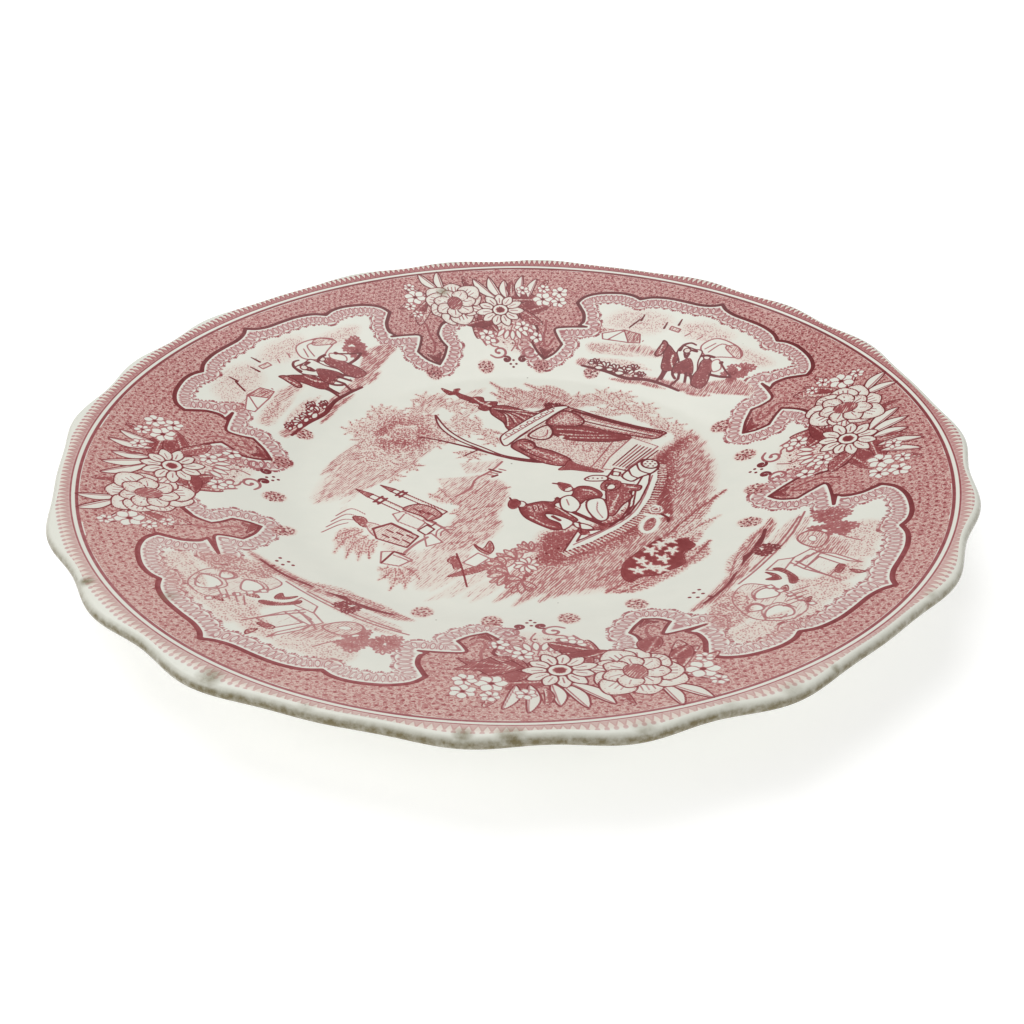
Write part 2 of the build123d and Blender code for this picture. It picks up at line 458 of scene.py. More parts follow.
def petal(base, tip, wide, bend=0.0):  # outline of a leaf or petal
    bx, by = base
    dx, dy = tip[0] - bx, tip[1] - by
    length = math.hypot(dx, dy)
    nx, ny = -dy / length, dx / length
    def at(t, s):
        b = bend * length * math.sin(math.pi * t)
        return (bx + dx * t + nx * (s * wide / 2 + b), by + dy * t + ny * (s * wide / 2 + b))
    return [at(0, 0), at(0.22, 0.75), at(0.55, 1.0), at(0.85, 0.6), at(1, 0), at(0.85, -0.6), at(0.55, -1.0),
        at(0.22, -0.75)]


def ring(at, size, size2=None, turn=0.0, count=8):
    c, s = math.cos(math.radians(turn)), math.sin(math.radians(turn))
    out = []
    for k in range(count):
        u, v = size * math.cos(2 * math.pi * k / count), (size2 or size) * math.sin(2 * math.pi * k / count)
        out.append((at[0] + u * c - v * s, at[1] + u * s + v * c))
    return out


def aimed(at, angle, length):
    return (at[0] + length * math.cos(math.radians(angle)), at[1] + length * math.sin(math.radians(angle)))


def frond(spine, wide, gap=1.7, line=0.55, ink="light", tone=0.25, lean=0.75):
    pts = smooth(spine, parts=6)
    seg = np.hypot(*np.diff(pts, axis=0).T)
    run = np.concatenate([[0], np.cumsum(seg)])
    where = np.arange(gap * 0.5, run[-1], gap)
    left, right = [], []
    for s in where:
        t = s / run[-1]
        p = (np.interp(s, run, pts[:, 0]), np.interp(s, run, pts[:, 1]))
        j = min(np.searchsorted(run, s), len(seg)) - 1
        ux, uy = (pts[j + 1] - pts[j]) / max(seg[j], 1e-6)
        taper = 1 - 0.75 * max(0, t - 0.55) / 0.45
        w = wide * (0.35 + 0.65 * math.sin(math.pi * min(1, t * 1.15 + 0.12))) * taper
        for side, keep in ((1, left), (-1, right)):
            q = (p[0] + (ux * lean - uy * side) * w, p[1] + (uy * lean + ux * side) * w)
            keep.append(q)
    if tone and len(left) > 1:
        sheet.fill([tuple(pts[0])] + left + [tuple(pts[-1])] + right[::-1], tone)
    for s, q, r in zip(where, left, right):
        p = (np.interp(s, run, pts[:, 0]), np.interp(s, run, pts[:, 1]))
        for end in (q, r):
            if ink == "light":  # soft barbs
                sheet.stroke([p, end], line * 1.2, "tone", curve=False, strength=0.62)
            else:
                sheet.stroke([p, end], line, ink, curve=False)
    if ink == "light":
        sheet.stroke(spine, line * 1.1, "tone", strength=0.85)
    else:
        sheet.stroke(spine, line * 1.1, ink)


def fan(at, aim, size, leaves=7, spread=170.0, tone=0.42, line=0.45, ink="light", wide=0.36):
    for k in range(leaves):
        off = spread * (k / (leaves - 1) - 0.5)
        tip = aimed(at, aim + off, size * (1 - 0.22 * abs(off) / 90))
        sheet.fill(petal(at, tip, size * wide, 0.05 if k % 2 else -0.05), tone + 0.1 * (k % 2), edge=line,
            ink=ink)


def plume(at, aim, size, leaves=5, spread=130.0, tone=0.36):
    for k in range(leaves):
        off = spread * (k / max(leaves - 1, 1) - 0.5)
        far = size * (1 - 0.2 * abs(off) / 90)
        tip = aimed(at, aim + off, far)
        way = 1 if off > 0 else -1
        mid = aimed(((at[0] + tip[0]) / 2, (at[1] + tip[1]) / 2), aim + off + 90 * way, -far * 0.14)
        frond([at, mid, tip], size * 0.2, 1.4, 0.42, "light", tone, 0.7)


def clump(at, size, count, leaf, tone=0.45, ink="light"):
    for k in range(count):  # outer leaves first
        out = 1 - k / count
        angle = k * 137.5
        u, v = size * out * math.cos(math.radians(angle)), size * out * math.sin(math.radians(angle))
        p = (at[0] + u, at[1] + v)
        aim = math.degrees(math.atan2(p[1] - at[1], p[0] - at[0]))
        fan(p, aim, leaf, 5, 150, tone + 0.3 * (1 - out), ink=ink)


def streaks(lines, tone=0.3, hatch=1, wide=3.0):
    for x0, y0, x1, y1 in lines:
        sheet.shade(petal((x0, y0), (x1, y1), wide, 0.02), tone, hatch, soft=1.0)


def star(at, size, petals=5, turn=0.0, tone=0.0):
    for k in range(petals):
        a = turn + 360 * k / petals
        sheet.fill(petal(aimed(at, a, size * 0.15), aimed(at, a, size), size * 0.75), tone, edge=0.4,
            ink="light")
    sheet.dot(at, size * 0.35)


def peony(at, size, turn):
    for k in range(9):  # outer ruffle
        a = turn + 40 * k + 9 * math.sin(k * 2.1)
        far = size * (0.94 + 0.1 * math.sin(k * 1.7))
        sheet.fill(petal(aimed(at, a, size * 0.25), aimed(at, a, far), size * 0.74), 0.04, 0, edge=0.45,
            inner=0.3)
        for off in (-11, 0, 11):
            sheet.stroke([aimed(at, a + off, size * 0.5), aimed(at, a + off * 0.8, size * 0.78)], 0.4,
                "light")
    for k in range(7):  # middle petals
        a = turn + 20 + 51.4 * k
        sheet.fill(petal(aimed(at, a, size * 0.1), aimed(at, a, size * 0.66), size * 0.5), 0.06, 0, edge=0.45,
            inner=0.36)
        sheet.stroke([aimed(at, a, size * 0.3), aimed(at, a, size * 0.52)], 0.4, "light")
    sheet.fill(ring(at, size * 0.3, size * 0.22, turn), 0.66, 1, edge=0.4)
    for k in range(10):
        p = aimed(at, turn + 36 * k, size * (0.30 if k % 2 else 0.38))
        sheet.stroke([p, aimed(p, turn + 36 * k, 0.3)], 0.75, "none", curve=False)


def daisy(at, size, turn):
    sheet.fill(ring(at, size * 0.55), 0.75)
    for k in range(11):
        a = turn + 360 * k / 11
        sheet.fill(petal(aimed(at, a, size * 0.3), aimed(at, a, size * (1.0 + 0.06 * math.sin(k * 2.4))),
            size * 0.42),
                   0.0, 0, edge=0.45, inner=0.24)
        sheet.stroke([aimed(at, a, size * 0.45), aimed(at, a, size * 0.74)], 0.4, "light")
    sheet.fill(ring(at, size * 0.33), 0.0, 0, edge=0.5)
    sheet.fill(ring(at, size * 0.19), 0.95, 0)


def darkLeaf(base, tip, wide, bend=0.0, tone=0.86):
    sheet.fill(petal(base, tip, wide, bend), tone, 0, edge=0.45)
    sheet.stroke([base, ((base[0] + tip[0]) / 2, (base[1] + tip[1]) / 2), tip], 0.4, "none", taper=0.6)


def scroll(at, size, aim, way=1, turns=1.1, width=0.6, ink="light"):
    pts = []
    for k in range(11):
        t = k / 10
        pts.append(aimed(at, aim + way * 360 * turns * t, size * (1 - 0.82 * t)))
    sheet.stroke(pts, width, ink, bulge=0.3)
    sheet.dot(pts[-1], width * 1.9, ink)


def spray(turn):  # shapes are set out with the spray's axis along +X
    sheet.place(turn)
    # shield of light stipple between the spearheads
    sheet.shade([(79, -3), (81, 5), (83, 10), (90, 13), (97, 8), (98, -6), (90, -11), (84, -9)], 0.20, 0,
        soft=1.5)
    for y, way in ((5.0, 1), (-6.2, -1)):
        scroll((79.5, y), 3.4, 180 - way * 60, way, 1.15, 0.7)
        scroll((75.6, y - way * 2.6), 1.7, 20 * way, -way, 0.9, 0.8, "dark")
        scroll((84.5, y + way * 1.2), 2.6, 200, -way, 1.0, 0.55)
        scroll((89.0, y + way * 2.0), 2.2, 160, way, 1.0, 0.55)
    sheet.shade([(82, -5), (84, 6), (90, 9), (94, 4), (95, -5), (88, -8)], 0.34, 0, soft=1.2)
    sheet.stroke([(80, 0.5), (84, -1), (88, 1), (93, 0)], 0.5, "light")
    for k in range(-3, 4):  # hanging drops inside the shield
        drop = petal(aimed((96, 0), 180 + 16 * k, 5.5), aimed((96, 0), 180 + 16 * k, 10.5), 1.9)
        sheet.fill(drop, 0.05, 0, edge=0.45, ink="light")
        sheet.dot(aimed((96, 0), 180 + 16 * k, 12.2), 0.8)
    for x, y in ((73.4, -1.2), (73.4, 0.8), (75.3, -0.2), (71.9, -0.2)):
        sheet.dot((x, y), 0.95)
    for x, y in ((86, 8.5), (86.5, -9)):
        star((x, y), 3.0, 5, 20)
    for k in (-1, 1):  # hanging bells at the shield's sides
        sheet.stroke([(91, 9.5 * k), (86, 11 * k), (82.5, 9.6 * k)], 0.5, "light")
    # leaves behind the flowers
    darkLeaf((97, 14.5), (86, 12.5), 4.4, 0.1, 0.72)
    darkLeaf((100, 12), (90, 5.5), 5.4, -0.1, 0.8)
    darkLeaf((99, 4), (93, 17), 4.2, 0.12, 0.9)
    darkLeaf((104, 30), (91, 34), 5.0, -0.1, 0.6)
    darkLeaf((105, 32), (95, 38), 3.2, 0.1, 0.8)
    darkLeaf((98, 1), (104, -14.5), 7.5, 0.08, 0.8)
    darkLeaf((102, -3), (93, -11), 5.0, -0.1, 0.7)
    darkLeaf((107, 2), (107, -11), 4.6, 0.1, 0.85)
    for base, tip, wide in (((108, 6), (119, 15), 3.6), ((108, 4), (120, 9), 3.6),
        ((108, 2), (118.5, 3), 3.4),
                            ((108, -3), (121, -4), 3.2), ((108, -6), (119, -9.5), 3.0),
                            ((112, 28), (120, 36), 3.4),
                            ((111, 26), (122, 29), 3.2), ((108, 32), (112, 41), 3.2)):
        sheet.fill(petal(base, tip, wide, 0.08), 0.03, 0, edge=0.5, inner=0.12)
        sheet.stroke([base, tip], 0.4, "light")
    for base, tip in (((110, 0.5), (118, 0)), ((111, -11), (118, -14)), ((110, 13), (120.5, 19)),
            ((104, 38), (99, 42))):
        darkLeaf(base, tip, 2.2, 0.1, 0.8)
    # small blossoms
    for x, y, s in ((106.5, 36.5, 4.2), (101, 38, 2.4), (112, 39, 2.4), (107, -11.5, 4.0), (105, -17.5, 3.2),
        (110.5, -18, 3.4),
                    (113, -12, 2.6), (88, 9.5, 3.0), (112.5, -4, 2.6), (92.5, -3.5, 3.0), (111, 22, 3.0),
                    (97, 35, 2.2)):
        star((x, y), s, 6, x * 7)
    peony((104.5, 21.5), 12.2, 10)
    daisy((101.5, 4.5), 8.8, 4)
    # dotted rosettes on the white beside the centre
    for a in (-8.0, 7.6, 22.5, -22.5):
        at = aimed((0, 0), a, 72.6)
        sheet.shade(ring(at, 3.6, 2.9, a), 0.5, 0, soft=0.8)
        for k in range(13):
            p = aimed(at, k * 137.5, 2.9 * math.sqrt(k / 13))
            sheet.dot(p, 0.78)
    sheet.place()


def spearTips():  # dark ends of the spearheads
    for spec in printed["sprays"]:
        for sign, which in ((1, 1), (-1, 0)):
            run = [(76.9, 14.2), (82.0, 12.6), (80.6, 14.4), (82.0, 16.2)]
            pts = polarRun(run + run[:1], spec["axis"], sign, spec["lean"][which], spec["reach"][which])
            sheet.fill([tuple(p) for p in pts], 0.9, 0, edge=0.4, curve=False)
            line = polarRun([(97, 13.2), (91.5, 13.4), (86.5, 13.2), (82.5, 14.4), (86.5, 15.6)],
                spec["axis"], sign, spec["lean"][which], spec["reach"][which])
            sheet.stroke([tuple(p) for p in line], 0.9, "light", curve=False)


def frontLeaves():  # broad leaves that only the spray at the front has
    sheet.fill([(2, -99.5), (-1, -95.5), (-3.4, -97.2), (-6, -94), (-8.6, -96.4), (-14, -94.6),
        (-11.2, -98.2), (-14.4, -100.6), (-8.4, -101), (-6, -103.8), (-2, -102.4)],
               0.8, 1, edge=0.5, curve=False)
    for tip in ((-13, -95.2), (-13, -100.2), (-6.4, -102.8), (-5.8, -95.2)):
        sheet.stroke([(0, -99.6), tip], 0.45, "none", curve=False, taper=0.5, strength=0.8)
    darkLeaf((17, -90.5), (8, -86), 5.0, 0.1, 0.85)
    darkLeaf((31, -94), (34.5, -86), 6.0, 0.1, 0.85)
    darkLeaf((36, -98), (41, -92), 5.0, -0.1, 0.85)


def vignetteCamp(turn):  # tents, horses and riders, set out as in the back right frame
    sheet.place(turn)
    sheet.shade([(33, 92), (40, 98), (52, 95), (58, 88), (50, 83), (40, 86)], 0.32, 0, soft=4)
    sheet.shade([(60, 86), (70, 84), (78, 74), (70, 72), (62, 78)], 0.34, 0, soft=4)
    sheet.shade([(76, 70), (86, 60), (88, 54), (82, 55), (76, 62)], 0.34, 0, soft=3)
    sheet.shade([(30, 90), (37, 88), (40, 86), (36, 87), (31, 87)], 0.45, 0, soft=1)
    sheet.shade([(27, 82), (38, 80), (47, 77), (53, 70), (48, 71), (40, 75), (28, 77)], 0.42, 1, soft=2)
    streaks([(27, 78, 45, 72), (29, 74, 46, 67), (34, 71, 48, 64), (27, 81, 42, 78), (44, 90, 56, 86),
        (62, 82, 76, 72)], 0.38, 0, 2.2)
    # left tent and pennant
    sheet.fill([(32, 86.5), (40, 87), (41, 80), (36, 82), (32, 83.5)], 0.0, 0, edge=0.5, ink="light",
        curve=False)
    sheet.fill([(40, 87), (45.5, 83.5), (45, 79), (41, 80)], 0.5, 1, edge=0.5, ink="light", curve=False)
    sheet.stroke([(34, 83), (40, 86.5)], 0.5, "light")
    sheet.stroke([(42, 88), (46, 91.5)], 0.7)
    for k in range(4):
        sheet.stroke([(43 + k, 81 - k * 0.5), (43.4 + k, 83 - k)], 0.45, "light")
    # far towers
    for x, y in ((54.2, 85), (59.5, 85.5), (46.5, 91)):
        sheet.stroke([(x, y), (x + 1.6, y + 3)], 0.9, "dark", taper=0.5)
    sheet.fill([(56, 84), (59, 81.5), (60, 83), (57, 85.5)], 0.35, 1, edge=0.5, ink="light", curve=False)
    for k in range(3):
        sheet.stroke([(61 + k * 4, 79 - k * 3), (63 + k * 4, 80 - k * 3)], 0.5, "light")
    # right tent
    sheet.fill([(66, 72), (72, 74.5), (78, 68), (78.5, 62), (72, 64), (67, 66)], 0.04, 0, edge=0.55,
        ink="light")
    sheet.fill([(74, 69), (78, 68), (78.3, 62), (76.5, 62)], 0.4, 1, edge=0.45, ink="light")
    sheet.stroke([(68, 68), (73, 71), (76, 68)], 0.5, "light")
    sheet.stroke([(67, 70), (71, 72)], 0.5, "light")
    # ground
    sheet.fill([(22, 72), (29, 69.5), (36, 64), (46, 60), (52, 55), (57, 50), (64, 47), (72, 44), (78, 40),
        (80, 44), (76, 50),
                (70, 52), (62, 53), (54, 57), (47, 61), (38, 65.5), (30, 71), (24, 75)], 0.5, 1, soft=1.2)
    sheet.stroke([(24, 71), (32, 67), (39, 62), (46, 59.5), (52, 55), (56, 51)], 1.0, bulge=0.5)
    streaks([(40, 61, 52, 53), (58, 49, 66, 45), (64, 48, 78, 41), (33, 63, 44, 58)], 0.55, 1, 2.2)
    for x, y, s in ((31.5, 68.5, 3.4), (35.0, 67.0, 3.0), (38.5, 64.5, 3.6), (41.5, 66, 2.6),
            (43.5, 62.0, 2.4), (28.5, 71.5, 2.4)):
        for k in range(5):
            a = 10 + 38 * k
            sheet.fill(petal((x, y), aimed((x, y), a, s), s * 0.55), 0.05, 0, edge=0.5)
    # shrubs on the right
    clump((77, 55), 3.0, 6, 2.6, 0.5)
    clump((73.5, 53), 2.0, 4, 2.4, 0.6)
    # dark horse, front view
    for leg in ([(52.0, 63.4), (51.2, 61.0), (49.4, 58.4)], [(53.4, 63), (52.0, 60.8), (50.8, 58.4)],
            [(55.2, 63), (54.8, 60), (55.4, 57.6)]):
        sheet.stroke(leg, 0.95)
    sheet.fill([(54.2, 76.4), (55.6, 74.4), (56.6, 71.4), (57.6, 69.4), (57.0, 66.6), (55.6, 64.4),
        (55.0, 62.4), (52.4, 62.4), (51.4, 64.5), (52.0, 67.6),
                (52.8, 70.6), (53.2, 74)], 0.84, 0, edge=0.5)
    sheet.stroke([(56, 70), (55, 67), (55.2, 64)], 0.4, "none")
    sheet.fill([(53.6, 78.4), (54.6, 76.8), (54.3, 74.6), (53.2, 72.8), (51.6, 71.0), (50.2, 70.8),
        (49.8, 72.2), (50.8, 74.0), (52.0, 75.8), (52.8, 77.0)], 0.7, 0, edge=0.6)
    sheet.stroke([(52.8, 76), (51.8, 73.4), (50.8, 71.8)], 0.4, "none", taper=0.4)
    # second horse and rider in a pale robe
    sheet.fill([(57.5, 71), (60, 73.8), (63.5, 71), (66, 69), (64, 64), (63, 59), (60.6, 57.2), (58, 60),
        (55.4, 62.4), (57.6, 66)], 0.03, 0, edge=0.5)
    sheet.fill([(56, 64.4), (59, 66), (61.5, 66.4), (62, 62), (61, 58), (58.4, 59.4), (55.2, 61)], 0.85, 0,
        edge=0.4)
    for a, b in (((57.2, 60.4), (56.4, 57)), ((59.4, 59.4), (58.4, 54.8)), ((56.4, 57), (53.4, 54.4)),
            ((60.6, 58.4), (60.8, 55))):
        sheet.stroke([a, b], 0.95)
    sheet.stroke([(58.6, 71.8), (60.2, 74.2), (62.8, 74.6), (64.4, 73)], 1.3, taper=0.5)
    sheet.fill(ring((61.0, 70.9), 1.25), 0.25, 0, edge=0.5)
    sheet.stroke([(60, 69.6), (60.2, 67.4), (61.4, 69)], 1.0)
    sheet.stroke([(62.6, 70.6), (64.2, 69.4)], 0.9)
    # man standing behind with a brimmed hat
    sheet.fill([(65, 63.6), (67.5, 64.8), (68.6, 61), (67, 56), (65.4, 52), (63, 50), (60.4, 53), (61.4, 57),
        (63.6, 60)], 0.78, 0, edge=0.5)
    sheet.stroke([(64.6, 61), (64.2, 56), (62.8, 52)], 0.45, "light")
    sheet.fill(ring((67.2, 65.4), 1.2), 0.2, 0, edge=0.45)
    sheet.stroke([(65.4, 66.6), (67.6, 66.2), (69.6, 64.6)], 1.1)
    sheet.fill([(68.6, 62.6), (71, 62.8), (71, 58), (68.4, 57), (67.8, 59.5)], 0.02, 0, edge=0.5, ink="light")
    sheet.stroke([(67, 56), (70.5, 53.5), (73.4, 52.4)], 1.1)
    sheet.stroke([(71.3, 61), (72.4, 56), (73.6, 52.6)], 0.7)
    sheet.dot((71.5, 61), 1.6)
    sheet.place()


def vignetteCastle(turn):  # palms, walls and arches, set out as in the front right frame
    sheet.place(turn)
    sheet.shade([(90, -41), (97, -41), (99, -46), (95, -54), (92, -60), (86, -58), (84, -50), (88, -45)],
        0.36, 0, soft=2)
    sheet.shade([(72, -66), (82, -69), (83, -74), (76, -79), (72, -86), (62, -92), (54, -94), (50, -88),
        (58, -83), (66, -80)], 0.36, 0, soft=2)
    streaks([(82, -29, 68, -51), (80, -30, 65, -52), (78, -31, 64, -50), (83, -31, 76, -43),
        (76, -36, 60, -58)], 0.34, 1, 2.4)
    for pts in ([(82, -29), (76, -40), (66, -53), (58, -62)], [(80, -31), (73, -42), (62, -56)]):
        sheet.stroke(pts, 0.6, "light")
    # tree crown
    clump((87.5, -34.5), 3.2, 8, 3.0, 0.42)
    clump((88.5, -42), 2.6, 6, 2.6, 0.45)
    clump((84, -41.5), 2.6, 5, 2.6, 0.5)
    sheet.stroke([(85, -30.5), (86, -38), (88, -46), (92, -51)], 0.5, "light")
    # domed gate
    sheet.fill([(77, -43), (79, -40.4), (82, -40.6), (84.6, -43.5), (84, -47), (81, -50), (78, -47)], 0.4, 1,
        edge=0.6, ink="light")
    sheet.fill([(79.6, -43.8), (81, -42.8), (81.8, -44.5), (81, -46.4), (79.8, -45.6)], 0.0, 0, edge=0.4,
        ink="light")
    sheet.shade([(80, -47), (86, -45), (88, -55), (84, -57), (79, -51)], 0.45, 1, soft=1.5)
    # walls
    for outline in ([(72, -54), (79, -50), (81, -53), (75, -60)],
        [(75, -60), (80, -55), (84, -61), (80, -66)],
                    [(80, -52), (86, -60), (89, -62), (84, -55)],
                    [(66, -57), (70, -52.5), (74, -53), (70, -59)]):
        sheet.fill(outline, 0.1, 1, edge=0.5, ink="light", curve=False)
    for k in range(4):
        sheet.stroke([(73 + k * 1.8, -57.5 + k * 1.4), (77.5 + k * 1.8, -53 + k * 0.6)], 0.5, "light")
    sheet.stroke([(74, -55), (78, -63), (82, -69)], 0.6, "light")
    sheet.shade([(70, -62), (76, -66), (82, -62), (90, -60), (86, -68), (76, -72)], 0.42, 0, soft=2)
    # flags and figures
    sheet.fill([(67.8, -57), (70, -57.6), (72.4, -63.5), (71.6, -66.5), (70.2, -66), (70.4, -61)], 0.9, 0,
        edge=0.4)
    sheet.fill([(65.6, -58), (67.8, -60), (68.6, -63), (66.8, -63.2), (65, -62), (67, -61)], 0.88, 0,
        edge=0.4)
    sheet.fill([(60.2, -65), (63, -66.4), (62, -68.8), (60.8, -67.4)], 0.85, 0, edge=0.4)
    sheet.fill([(83.4, -61), (84.8, -62), (82.8, -65.2), (81.8, -64)], 0.75, 0, edge=0.4)
    sheet.fill([(85.4, -64.6), (88.6, -66.8), (86.4, -67)], 0.7, 0, edge=0.4)
    sheet.fill([(71.4, -76), (73.4, -75), (72.6, -77), (71.8, -77.4)], 0.7, 0, edge=0.4)
    sheet.fill([(67.6, -68), (69.2, -67), (68.8, -70), (67.4, -69.4)], 0.75, 0, edge=0.4)
    # big arches
    sheet.fill([(59, -63), (64, -65), (67, -69), (71, -76), (71, -81), (66, -85), (59, -83), (56, -78),
        (55, -70)], 0.26, 1, edge=0.45, ink="light")
    for k, (x, y, size) in enumerate(((64.5, -80, 3.2), (63.6, -69.5, 2.8), (59.5, -76.5, 1.8))):
        sheet.fill([(x - size, y - size * 0.9), (x - size * 0.9, y + size * 0.3), (x + size * 0.1, y + size),
            (x + size, y + size * 0.2), (x + size * 0.8, y - size * 0.9)],
                   0.0, 0, edge=0.55, ink="light")
        sheet.stroke([(x - size * 1.2, y - size * 1.2), (x - size * 1.2, y + size * 0.5),
            (x + size * 0.2, y + size * 1.4), (x + size * 1.3, y + size * 0.2)], 0.45, "light")
    for k in range(5):  # parapet
        sheet.fill([(64 + k * 1.9, -66 - k * 3), (65.6 + k * 1.9, -65.4 - k * 3),
            (66.2 + k * 1.9, -67 - k * 3), (64.8 + k * 1.9, -67.6 - k * 3)], 0.05, 0,
                   edge=0.45, ink="light", curve=False)
    for k in range(4):
        sheet.stroke([(66 + k, -78 + k * 2.4), (71 + k, -75.6 + k * 2.0)], 0.45, "light")
    sheet.shade([(52, -66), (58, -66), (60, -72), (57, -82), (50, -86), (48, -76)], 0.5, 0, soft=2)
    streaks([(45, -84, 58, -72), (48, -92, 62, -84), (58, -94, 70, -84), (54, -88, 68, -80)], 0.4, 0, 2.4)
    for k in range(3):
        sheet.stroke([(64 + 3 * k, -84 - k), (66 + 3 * k, -82 - k)], 0.5, "light")
    # dark plants along the lower edge
    sheet.fill([(73, -28), (73.4, -33), (70, -39), (66, -44), (63, -52), (60, -58), (54, -66), (47, -73),
        (44, -73), (50, -65), (56, -56),
                (59, -49), (63, -42), (68, -35)], 0.55, 1, soft=1.5)
    sheet.stroke([(70, -34), (67, -41), (62, -48), (60.5, -51)], 1.5, bulge=0.4)
    sheet.stroke([(60, -52), (55, -62), (48, -70)], 0.9)
    clump((67.5, -45), 2.6, 6, 2.4, 0.35, "dark")
    frond([(62, -46), (66, -38), (72.5, -29)], 1.7, 1.4, tone=0.5)
    frond([(57, -56), (60, -47), (63, -40)], 2.0, 1.4, tone=0.35)
    for x, y in ((47, -66), (48.6, -64.2), (46.4, -63), (50, -66.4), (45, -65.4), (48, -61.6)):
        sheet.dot((x, y), 1.0)
    sheet.place()


